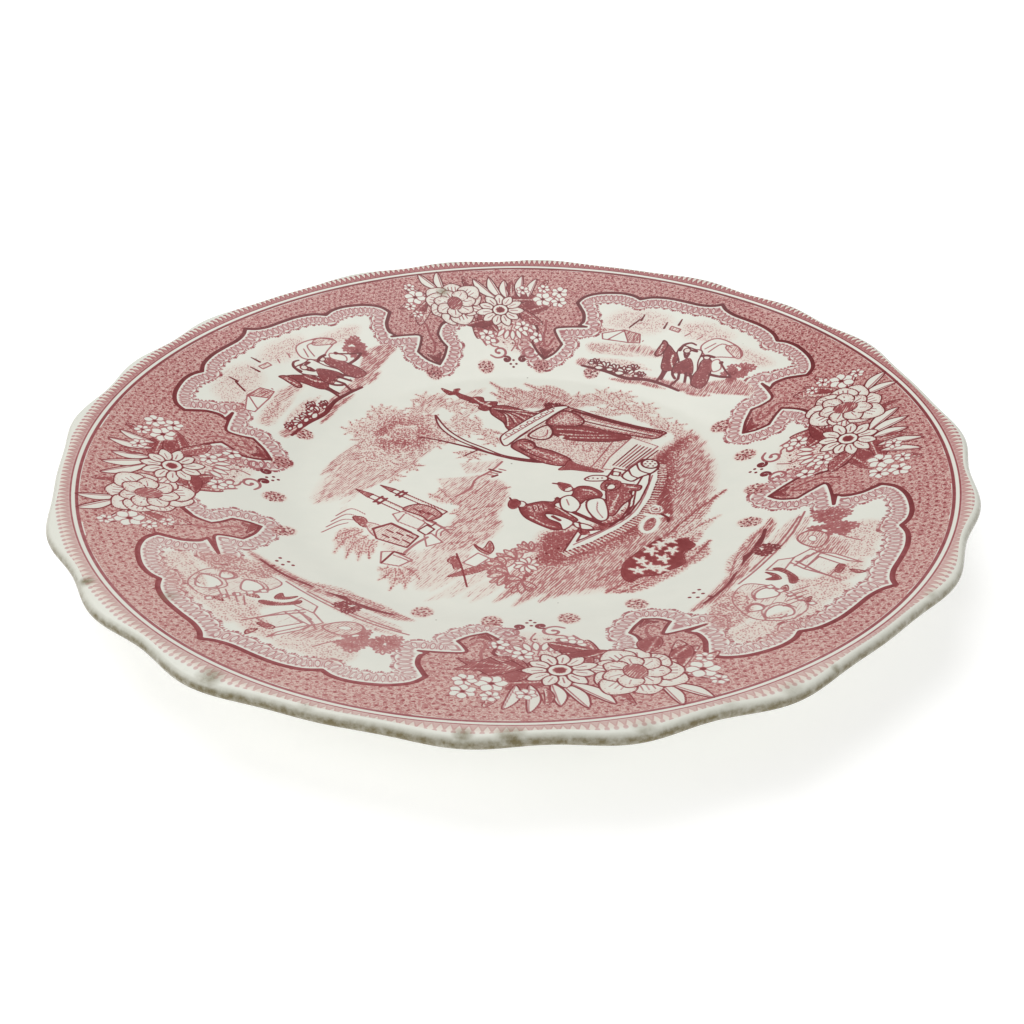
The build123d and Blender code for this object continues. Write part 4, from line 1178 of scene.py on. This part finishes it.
class Socket:
    # a shader value that can be added, multiplied and compared like a number

    def __init__(self, tree, out):
        self.tree, self.out = tree, out

    def op(self, kind, *others, clamp=False):
        n = self.tree.nodes.new("ShaderNodeMath")
        n.operation, n.use_clamp = kind, clamp
        for i, v in enumerate((self,) + others):
            if isinstance(v, Socket):
                self.tree.links.new(v.out, n.inputs[i])
            else:
                n.inputs[i].default_value = v
        return Socket(self.tree, n.outputs[0])

    def __add__(self, o):
        return self.op("ADD", o)

    def __radd__(self, o):
        return self.op("ADD", o)

    def __sub__(self, o):
        return self.op("SUBTRACT", o)

    def __rsub__(self, o):
        return (self * -1.0) + o

    def __mul__(self, o):
        return self.op("MULTIPLY", o)

    def __rmul__(self, o):
        return self.op("MULTIPLY", o)

    def __truediv__(self, o):
        return self.op("DIVIDE", o)

    def abs(self):
        return self.op("ABSOLUTE")

    def frac(self):
        return self.op("FRACT")

    def sin(self):
        return self.op("SINE")

    def max(self, o):
        return self.op("MAXIMUM", o)

    def min(self, o):
        return self.op("MINIMUM", o)

    def below(self, limit, soft=0.1):
        # 1 where the value is under the limit, with a soft edge
        n = self.tree.nodes.new("ShaderNodeMapRange")
        n.interpolation_type = "SMOOTHSTEP"
        self.tree.links.new(self.out, n.inputs["Value"])
        for key, v in (("From Min", limit - soft), ("From Max", limit + soft)):
            n.inputs[key].default_value = v
        n.inputs["To Min"].default_value, n.inputs["To Max"].default_value = 1.0, 0.0
        return Socket(self.tree, n.outputs[0])

    def above(self, limit, soft=0.1):
        return 1.0 - self.below(limit, soft)


def newNode(tree, kind, links=None, **values):
    n = tree.nodes.new(kind)
    for key, v in values.items():
        if key in n.inputs:
            n.inputs[key].default_value = v
        else:
            setattr(n, key, v)
    for key, s in (links or {}).items():
        tree.links.new(s.out if isinstance(s, Socket) else s, n.inputs[key])
    return n


def makeGroup(name, inputs, outputs):
    g = bpy.data.node_groups.new(name, "ShaderNodeTree")
    for n, kind in inputs:
        g.interface.new_socket(n, in_out="INPUT", socket_type=kind)
    for n, kind in outputs:
        g.interface.new_socket(n, in_out="OUTPUT", socket_type=kind)
    return g, g.nodes.new("NodeGroupInput"), g.nodes.new("NodeGroupOutput")


floatKind, vectorKind, colorKind = "NodeSocketFloat", "NodeSocketVector", "NodeSocketColor"


def noise(tree, vector, scale, detail=3.0, rough=0.5):
    n = newNode(tree, "ShaderNodeTexNoise", {"Vector": vector}, Scale=scale, Detail=detail, Roughness=rough)
    return Socket(tree, n.outputs["Fac"])


def transferInkGroup():
    # how much ink lies at a point, from the drawn values and the engraver's fine patterns
    g, gi, go = makeGroup("transferInk",
        [("Position", vectorKind), ("Ink", colorKind), ("Hatch", floatKind), ("Field", colorKind),
        ("Open", floatKind)],
        [("Cover", floatKind), ("Wash", floatKind)])
    pos = gi.outputs["Position"]
    sep = newNode(g, "ShaderNodeSeparateXYZ", {"Vector": pos})
    px, py = Socket(g, sep.outputs[0]), Socket(g, sep.outputs[1])
    inkSep = newNode(g, "ShaderNodeSeparateColor", {"Color": gi.outputs["Ink"]})
    fieldSep = newNode(g, "ShaderNodeSeparateColor", {"Color": gi.outputs["Field"]})
    dark, light, tone = (Socket(g, inkSep.outputs[i]) for i in range(3))
    hatch, clearing = Socket(g, gi.outputs["Hatch"]), Socket(g, gi.outputs["Open"])
    ground, lace, run = (Socket(g, fieldSep.outputs[i]) for i in range(3))
    radius = (px * px + py * py).op("SQRT")
    angle = py.op("ARCTAN2", px)
    # fine stipple, and streaks along the engraver's slope
    cell = newNode(g, "ShaderNodeTexVoronoi", {"Vector": pos}, Scale=1.55, Randomness=0.8)
    stipple = Socket(g, cell.outputs["Distance"]) * 1.05 + noise(g, pos, 0.5, 2.0) * 0.35 - 0.12
    slope = math.radians(57)
    acrossRun = px * math.sin(slope) - py * math.cos(slope)
    alongRun = px * math.cos(slope) + py * math.sin(slope)
    stretched = newNode(g, "ShaderNodeCombineXYZ", {"X": acrossRun * 1.75, "Y": alongRun * 0.28})
    streak = noise(g, stretched.outputs[0], 1.0, 2.0, 0.6)
    comb = ((acrossRun * 9.4 + noise(g, pos, 0.3, 1.0) * 5.0).sin() * 0.5 + 0.5)
    lines = (streak - 0.5) * 1.9 + comb * 0.34 + stipple * 0.25 + 0.22
    pattern = stipple * (1.0 - hatch) + lines * hatch
    toneCover = (pattern - tone * 1.12).below(0.0, 0.2) * tone.above(0.03, 0.03)
    # vermicelli ground with staggered dots
    warp = noise(g, pos, 0.55, 2.0) * 7.0
    fine = noise(g, pos, 0.85, 2.0, 0.55)
    squiggle = ((fine * 24.0 + warp).sin() * 0.5 + 0.5).above(0.5, 0.42)
    row = radius / 2.1
    column = angle * 52.0 + row.op("FLOOR") * 0.5
    dx = (column.frac() - 0.5) * 2.05
    dy = (row.frac() - 0.5) * 2.1
    dotAt = ((dx * dx + dy * dy).op("SQRT") + noise(g, pos, 1.1, 1.0) * 0.9).below(0.83, 0.14)
    groundCover = (squiggle * 0.38 + 0.10).max(dotAt * 0.88) * ground.above(0.5, 0.08)
    # lace along the ground's edge: ovals and strokes by turns, then a fringe
    step = 2.25
    u = ((run / step).frac() - 0.5) * step
    v = lace - 3.1
    oval = ((u / 0.62) * (u / 0.62) + (v / 1.55) * (v / 1.55)).op("SQRT")
    loop = (oval - 1.0).abs().below(0.24, 0.12) * 0.55
    core = oval.below(0.5, 0.3) * 0.14
    u2 = (((run / step) + 0.5).frac() - 0.5) * step
    stem = u2.abs().below(0.17, 0.09) * (lace - 2.6).abs().below(1.1, 0.2) * 0.5
    swing = ((run * (math.pi / (step * 2))).sin().abs() * 0.75 + 5.0)
    hem = (lace - swing).abs().below(0.2, 0.12) * 0.55
    teeth = (((run / 0.9).frac() - 0.5) * 0.9).abs().below(0.22,
        0.1) * (lace - swing - 0.45).abs().below(0.35, 0.12) * 0.5
    u4 = (((run / (step * 2.0)) + 0.0).frac() - 0.5) * (step * 2.0)
    v4 = lace - 6.15
    bead = (u4 * u4 + v4 * v4).op("SQRT").below(0.5, 0.12) * 0.75
    between = oval.above(1.0, 0.3) * v.abs().below(1.6, 0.5) * 0.24
    laceCover = loop.max(core).max(between).max(stem).max(hem).max(teeth).max(bead)
    laceCover = laceCover * lace.above(0.7, 0.1) * lace.below(7.2, 0.2) * clearing.above(0.5, 0.1)
    # ring lines and the toothed band by the lip
    ringA = (radius - 125.05).abs().below(0.42, 0.12)
    ringB = (radius - 126.65).abs().below(0.22, 0.1) * 0.85
    steps = 410.0 / (2 * math.pi)
    tooth = (angle * steps).frac()
    zig = (tooth - 0.5).abs() * 2.0
    bandAt = (radius - 126.9) / 2.5
    zigLine = (zig - bandAt).abs().below(0.22, 0.12)
    zigFill = (bandAt - zig).below(0.0, 0.2) * 0.42
    atBack = (py * 1.0).above(10.0, 90.0) * 0.55 + 0.5
    bandInk = (zigLine * 0.6).max(zigFill) * atBack * bandAt.above(0.0, 0.06) * bandAt.below(1.0, 0.06)
    pearls = (((angle * steps + 0.5).frac() - 0.5) * 2.0)
    pv = radius - 129.9
    pearl = (pearls * pearls + pv * pv).op("SQRT").below(0.55, 0.16) * 0.6 * atBack
    border = ringA.max(ringB).max(bandInk).max(pearl)
    sharpDark = dark.above(0.5, 0.10) * 1.25
    sharpLight = light.above(0.5, 0.12) * 0.62
    cover = toneCover * (tone * tone * 0.75 + 0.36)
    cover = cover.max(groundCover * radius.below(124.9,
        0.1)).max(laceCover).max(sharpLight).max(sharpDark).max(border)
    # uneven inking
    # the ink is made paler towards the front and left
    pale = (py * -1.0 - px * 0.25).above(10.0, 150.0) * 0.54
    uneven = noise(g, pos, 0.035, 3.0) * 0.5 + noise(g, pos, 0.6, 2.0) * 0.45 + 0.64 - pale
    g.links.new((cover * uneven).op("MINIMUM", 1.5).out, go.inputs["Cover"])
    wash = (tone * 0.9).max(ground.above(0.5, 0.3) * 0.62 * radius.below(124.9, 0.2)).max(bandAt.above(0.0,
        0.2) * bandAt.below(1.15, 0.25) * 0.3)
    g.links.new(wash.out, go.inputs["Wash"])
    return g


def glazeAgeAndShadeGroup():
    # glaze unevenness, specks, and grime that also carries painted shade on the lip's outer face, shared by
    # every glazed surface
    g, gi, go = makeGroup("glazeAgeAndShade", [("Position", vectorKind), ("Grime", floatKind)],
                          [("Speck", floatKind), ("Cloud", floatKind), ("Height", floatKind),
                          ("Grime", floatKind), ("Gloss", floatKind)])
    pos = gi.outputs["Position"]
    cell = newNode(g, "ShaderNodeTexVoronoi", {"Vector": pos}, Scale=0.16, Randomness=1.0)
    near = Socket(g, cell.outputs["Distance"])
    pick = Socket(g, newNode(g, "ShaderNodeSeparateColor", {"Color": cell.outputs["Color"]}).outputs[0])
    speck = near.below(0.045, 0.02) * pick.above(0.72, 0.02)
    g.links.new(speck.out, go.inputs["Speck"])
    cloud = noise(g, pos, 0.03, 4.0) * 0.6 + noise(g, pos, 0.18, 3.0) * 0.4
    g.links.new(cloud.out, go.inputs["Cloud"])
    swell = noise(g, pos, 0.05, 2.0) * 1.0 + noise(g, pos, 0.35, 2.0) * 0.12 + noise(g, pos, 1.6, 1.0) * 0.012
    g.links.new(swell.out, go.inputs["Height"])
    # grime input: real stains, and on the lip's outer face painted shade, both made blotchy by noise
    grime = Socket(g, gi.outputs["Grime"]) * (noise(g, pos, 0.5, 4.0, 0.65) * 1.5 + 0.15)
    g.links.new(grime.op("MINIMUM", 1.0).out, go.inputs["Grime"])
    wear = noise(g, pos, 0.8, 5.0, 0.7).above(0.62, 0.1) * 0.10 + noise(g, pos, 0.07, 2.0) * 0.12 + 0.10
    g.links.new(wear.out, go.inputs["Gloss"])
    return g


inkGroup = transferInkGroup()
ageAndShadeGroup = glazeAgeAndShadeGroup()

glazeLook = {
    "white": (0.706, 0.706, 0.632),
    "cool": (0.672, 0.680, 0.610),
    "inkPull": (1.26, 3.15, 2.90),  # how strongly full ink takes away red, green and blue
    "washPull": (0.10, 0.46, 0.52),
    # grime colour: used for real stains and for the painted shade on the lip's outer face
    "grime": (0.17, 0.14, 0.07),
    "speck": (0.10, 0.07, 0.05),
}


def mixColor(tree, fac, a, b):
    n = tree.nodes.new("ShaderNodeMix")
    n.data_type = "RGBA"
    for key, v in (("Factor", fac), ("A", a), ("B", b)):
        wantsColor = key != "Factor"
        s = next(i for i in n.inputs if i.name == key and (i.type == "RGBA") == wantsColor and i.enabled)
        if isinstance(v, (Socket, bpy.types.NodeSocket)):
            tree.links.new(v.out if isinstance(v, Socket) else v, s)
        elif key == "Factor":
            s.default_value = v
        else:
            s.default_value = (*v, 1)
    return next(o for o in n.outputs if o.type == "RGBA" and o.enabled)


def inkedColor(tree, base, cover, wash):
    # glaze colour seen through ink: each channel falls off on its own
    sep = newNode(tree, "ShaderNodeSeparateColor", {"Color": base})
    out = newNode(tree, "ShaderNodeCombineColor")
    for i in range(3):
        pull = cover * -glazeLook["inkPull"][i] + wash * -glazeLook["washPull"][i]
        value = Socket(tree, sep.outputs[i]) * pull.op("EXPONENT")
        tree.links.new(value.out, out.inputs[i])
    return out.outputs[0]


def glazedMaterial(name, printedFace):
    m = bpy.data.materials.new(name)
    m.use_nodes = True
    t = m.node_tree
    t.nodes.clear()
    out = t.nodes.new("ShaderNodeOutputMaterial")
    bsdf = t.nodes.new("ShaderNodeBsdfPrincipled")
    t.links.new(bsdf.outputs[0], out.inputs["Surface"])
    coord = t.nodes.new("ShaderNodeTexCoord")
    scale = newNode(t, "ShaderNodeVectorMath", {0: coord.outputs["Object"]}, operation="SCALE", Scale=1000.0)
    pos = scale.outputs[0]
    # attribute of real stains, plus painted shade on the glaze coat's lip face
    stain = newNode(t, "ShaderNodeAttribute", attribute_name="stain")
    ageAndShade = t.nodes.new("ShaderNodeGroup")
    ageAndShade.node_tree = ageAndShadeGroup
    t.links.new(pos, ageAndShade.inputs["Position"])
    t.links.new(stain.outputs["Fac"], ageAndShade.inputs["Grime"])
    base = mixColor(t, Socket(t, ageAndShade.outputs["Cloud"]).above(0.5, 0.22), glazeLook["white"],
        glazeLook["cool"])
    if printedFace:
        ink = newNode(t, "ShaderNodeAttribute", attribute_name="ink")
        field = newNode(t, "ShaderNodeAttribute", attribute_name="field")
        transfer = t.nodes.new("ShaderNodeGroup")
        transfer.node_tree = inkGroup
        t.links.new(pos, transfer.inputs["Position"])
        t.links.new(ink.outputs["Color"], transfer.inputs["Ink"])
        t.links.new(ink.outputs["Alpha"], transfer.inputs["Hatch"])
        t.links.new(field.outputs["Color"], transfer.inputs["Field"])
        t.links.new(field.outputs["Alpha"], transfer.inputs["Open"])
        base = inkedColor(t, base, Socket(t, transfer.outputs["Cover"]), Socket(t, transfer.outputs["Wash"]))
    base = mixColor(t, Socket(t, ageAndShade.outputs["Speck"]) * 0.7, base, glazeLook["speck"])
    # darken towards the grime colour for real stains and for the painted shade on the lip's outer face
    base = mixColor(t, Socket(t, ageAndShade.outputs["Grime"]), base, glazeLook["grime"])
    t.links.new(base, bsdf.inputs["Base Color"])
    t.links.new(Socket(t, ageAndShade.outputs["Gloss"]).out, bsdf.inputs["Roughness"])
    bump = newNode(t, "ShaderNodeBump", {"Height": ageAndShade.outputs["Height"]}, Strength=0.25, Distance=0.0006)
    t.links.new(bump.outputs[0], bsdf.inputs["Normal"])
    bsdf.inputs["IOR"].default_value = 1.5
    bsdf.inputs["Specular IOR Level"].default_value = 0.24
    return m


def clayMaterial():
    m = bpy.data.materials.new("firedClay")
    m.use_nodes = True
    t = m.node_tree
    bsdf = t.nodes["Principled BSDF"]
    coord = t.nodes.new("ShaderNodeTexCoord")
    pos = newNode(t, "ShaderNodeVectorMath", {0: coord.outputs["Object"]}, operation="SCALE",
        Scale=1000.0).outputs[0]
    fine = noise(t, pos, 2.2, 5.0, 0.7)
    broad = noise(t, pos, 0.12, 4.0)
    base = mixColor(t, fine * 0.6 + broad * 0.4, (0.80, 0.74, 0.60), (0.50, 0.42, 0.30))
    t.links.new(base, bsdf.inputs["Base Color"])
    t.links.new((fine * 0.25 + 0.62).out, bsdf.inputs["Roughness"])
    bump = newNode(t, "ShaderNodeBump", {"Height": fine.out}, Strength=0.5, Distance=0.0002)
    t.links.new(bump.outputs[0], bsdf.inputs["Normal"])
    return m


printedGlaze = glazedMaterial("printedGlaze", True)
plainGlaze = glazedMaterial("plainGlaze", False)
firedClay = clayMaterial()

# pieces
lipStains = {
    "spots": [(-67, -112, 3.2, 0.8), (-45, -123, 2.6, 0.5), (-11, -130.2, 2.2, 0.9), (-1, -131, 3.4, 0.9),
    (12, -131, 1.6, 0.7),
              (27, -129, 3.0, 0.5), (46, -123, 2.5, 0.5), (-104.5, -77, 2.0, 0.9), (-27, 110.5, 2.6, 0.75),
              (-85, -77.5, 2.6, 0.45),
              (71, -110, 1.6, 1.0), (131, 8, 1.6, 0.9), (60, -117, 3.0, 0.4), (100, -84, 2.5, 0.35)],
}


def stainAt(x, y):
    s = np.zeros(len(x))
    for sx, sy, size, strength in lipStains["spots"]:
        d = np.hypot(x - sx, y - sy)
        s = np.maximum(s, strength * np.clip(1.25 - d / size, 0, 1))
    return s


def setAttribute(mesh, name, columns, kind="FLOAT_COLOR"):
    a = mesh.attributes.new(name, kind, "POINT")
    if kind == "FLOAT":
        a.data.foreach_set("value", columns.astype(np.float32))
    else:
        a.data.foreach_set("color", np.stack(columns, -1).astype(np.float32).ravel())


start = 0
k = sheet.ink
for name, node, x, y, quads, others, under in pieces:
    n = len(x)
    part = slice(start, start + n)
    start += n
    rim = np.unique(np.concatenate([np.array(f) for f in under[2]]))
    rim = rim[rim < n]  # the walls get their own points, so they don't tilt the face's shading
    moved = np.arange(n + len(under[0]))
    moved[rim] = n + len(under[0]) + np.arange(len(rim))
    low = np.arange(n + len(under[0]) + len(rim))
    low = (low >= n) & (low < n + len(under[0]))
    x, y = np.concatenate([x, under[0], x[rim]]), np.concatenate([y, under[1], y[rim]])
    z = upperHeight(np.hypot(x, y)) - plate["skin"] * low
    ob = makeMesh(name, np.stack([x, y, z], -1), quads, others, [moved[f] for f in under[2]])
    for title, channels in (("ink", ("dark", "light", "tone", "hatch")),
            ("field", ("ground", "lace", "run", "open"))):
        values = [k[c][part] for c in channels]
        setAttribute(ob.data, title, [np.concatenate([v, np.zeros(len(under[0])), v[rim]]) for v in values])
    setAttribute(ob.data, "stain", stainAt(x, y), "FLOAT")
    ob.data.materials.append(printedGlaze)
    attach(ob, "root")
    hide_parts(node)
print("printed pieces made")


def glazeSkin():
    # lip and underside, from the printed band out round the lip and in to the foot
    n = plate["sectors"]
    a = np.arange(n) * 2 * math.pi / n
    lip = lipRadius(a)
    half = plate["lipThick"] / 2
    rings = []
    rings.append((lip - plate["margin"], upperHeight(lip - plate["margin"])))
    for turn in np.linspace(90, -90, 13):
        c, s = math.cos(math.radians(turn)), math.sin(math.radians(turn))
        rings.append((lip - half + half * c, np.full(n, 24.6 - half + half * s)))
    for t in np.linspace(0, 1, 6)[1:]:
        rings.append((lip - half + (126.5 - lip + half) * t, np.full(n, 20.9)))
    lowerPts = plate["lower"][::-1]
    for r in np.linspace(126.5, 75.0, 17)[1:]:
        z = hermite(lowerPts, np.array([r]), 0.5, 0.42)[0]
        rings.append((np.full(n, r), np.full(n, z)))
    for r, z in ((75.0, 1.7), (74.85, 1.1), (74.4, 0.55), (73.8, 0.2), (73.2, 0.0)):
        rings.append((np.full(n, r), np.full(n, z)))
    outer = len(rings)
    rings.append(rings[-1])
    for r in (73.6, 75.6, 84.0, 96.0, 110.0, 124.0):  # back along the inside of the coat
        rings.append((np.full(n, r), np.full(n, 0.5 if r < 75 else hermite(lowerPts, np.array([max(r, 75)]),
            0.5, 0.42)[0] + 0.3)))
    for turn in (-80, -30, 30, 80):
        c, s = math.cos(math.radians(turn)), math.sin(math.radians(turn))
        rings.append((lip - half + (half - 0.25) * c, np.full(n, 24.6 - half + (half - 0.25) * s)))
    rings.append((lip - plate["margin"], upperHeight(lip - plate["margin"]) - plate["skin"]))
    rings.append(rings[0])
    verts = np.concatenate([np.stack([r * np.cos(a), r * np.sin(a), z], -1) for r, z in rings])
    quads = np.concatenate([gridFaces(outer, n, True), gridFaces(len(rings) - outer, n, True, outer * n)])
    return makeMesh("glazeCoat", verts, quads), verts


skin, verts = glazeSkin()
# painted shade: the lip's outer face, below its rolled top, is darkened towards the grime colour to stand in
# for the shade it gets; the spots from stainAt are real stains
paintedLipShade = np.clip((24.58 - verts[:, 2]) / 1.1, 0, 1) * np.clip((verts[:, 2] - 20.4) / 0.6, 0, 1)
setAttribute(skin.data, "stain", np.maximum(stainAt(verts[:, 0], verts[:, 1]) * (verts[:, 2] > 20.5),
    paintedLipShade * 0.95), "FLOAT")
skin.data.materials.append(plainGlaze)
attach(skin, "root")
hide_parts("glaze_coat")


def clayCore():  # the clay inside the glaze, bare only on the foot's bearing ring
    n = 480
    a = np.arange(n) * 2 * math.pi / n
    lip = lipRadius(a)
    rings = []
    for r in (1.0, 20.0, 40.0, 55.0, 62.0, 68.0, 74.0, 80.0, 90.0, 100.0, 110.0, 118.0, 124.0):
        rings.append((np.full(n, r), upperHeight(np.full(n, r)) - 0.5))
    for inset, z in ((2.2, 24.0), (0.8, 23.4), (0.4, 22.7), (0.8, 22.0), (2.2, 21.4)):
        rings.append((lip - inset, np.full(n, z)))
    for r in np.linspace(126, 76, 24):
        rings.append((np.full(n, r), np.full(n, hermite(plate["lower"][::-1], np.array([r]), 0.5,
            0.42)[0] + 0.5)))
    for r, z in ((74.5, 2.0), (74.3, 1.0), (73.2, 0.02), (72.9, 0.0), (71.5, 0.0), (71.2, 0.02), (70.2, 1.0),
            (69.5, 2.3), (60, 2.45), (30, 2.45), (1.0, 2.45)):
        rings.append((np.full(n, r), np.full(n, z)))
    verts = np.concatenate([np.stack([r * np.cos(a), r * np.sin(a), z], -1) for r, z in rings])
    last = (len(rings) - 1) * n
    return makeMesh("clayBody", verts, gridFaces(len(rings), n, True),
        [list(range(n))[::-1], list(range(last, last + n))])


core = clayCore()
core.data.materials.append(firedClay)
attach(core, "root")
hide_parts("clay_body")
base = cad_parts["base_glaze"]
base.data.materials.clear()
base.data.materials.append(plainGlaze)
print("glaze and clay done")

# camera, light and floor
studio = {
    "height": 23.8,  # of the ring the camera is set out from
    "distance": 351.2,
    "elevation": 29.41,
    "tilt": 4.16,
    "roll": 0.27,
    "lens": 41.28,
}


def studioSetup():
    e = math.radians(studio["elevation"])
    camData = bpy.data.cameras.new("camera")
    camData.lens, camData.sensor_width = studio["lens"], 36.0
    camData.clip_start = 0.01
    cam = bpy.data.objects.new("camera", camData)
    cam.location = (0, -studio["distance"] * math.cos(e) * mm,
        (studio["height"] + studio["distance"] * math.sin(e)) * mm)
    down = e + math.radians(studio["tilt"])
    cam.rotation_euler = (math.pi / 2 - down, math.radians(studio["roll"]), 0)
    bpy.context.collection.objects.link(cam)
    bpy.context.scene.camera = cam
    mesh = bpy.data.meshes.new("floor")
    s = 3.0
    mesh.from_pydata([(-s, -s, 0), (s, -s, 0), (s, s, 0), (-s, s, 0)], [], [(0, 1, 2, 3)])
    floor = bpy.data.objects.new("floor", mesh)
    bpy.context.collection.objects.link(floor)
    m = bpy.data.materials.new("floorPaper")
    m.use_nodes = True
    m.node_tree.nodes["Principled BSDF"].inputs["Base Color"].default_value = (0.90, 0.90, 0.90, 1)
    m.node_tree.nodes["Principled BSDF"].inputs["Roughness"].default_value = 0.9
    m.node_tree.nodes["Principled BSDF"].inputs["Specular IOR Level"].default_value = 0.0
    m.node_tree.nodes["Principled BSDF"].inputs["Emission Color"].default_value = (1, 1, 1, 1)
    m.node_tree.nodes["Principled BSDF"].inputs["Emission Strength"].default_value = 0.34
    floor.data.materials.append(m)
    world = bpy.data.worlds.new("studio")
    world.use_nodes = True
    world.node_tree.nodes["Background"].inputs[0].default_value = (1.0, 1.0, 1.0, 1)
    world.node_tree.nodes["Background"].inputs[1].default_value = 0.55
    bpy.context.scene.world = world
    for name, place, size, power, aim in (
        ("softTop", (-0.25, 0.35, 0.95), 1.1, 6.0, (0, 0, 0)),
        ("softLeft", (-0.9, -0.35, 0.6), 0.7, 2.0, (0, 0, 0)),
        ("softFront", (0.5, -0.9, 0.7), 0.8, 1.6, (0, 0, 0)),
    ):
        data = bpy.data.lights.new(name, "AREA")
        data.shape, data.size, data.energy = "DISK", size, power
        lamp = bpy.data.objects.new(name, data)
        lamp.location = place
        direction = np.array(aim) - np.array(place)
        direction = direction / np.linalg.norm(direction)
        lamp.rotation_euler = (math.acos(-direction[2]), 0, math.atan2(direction[1],
            direction[0]) - math.pi / 2)
        bpy.context.collection.objects.link(lamp)
    bpy.context.scene.view_settings.view_transform = "Standard"


studioSetup()
print("studio ready")
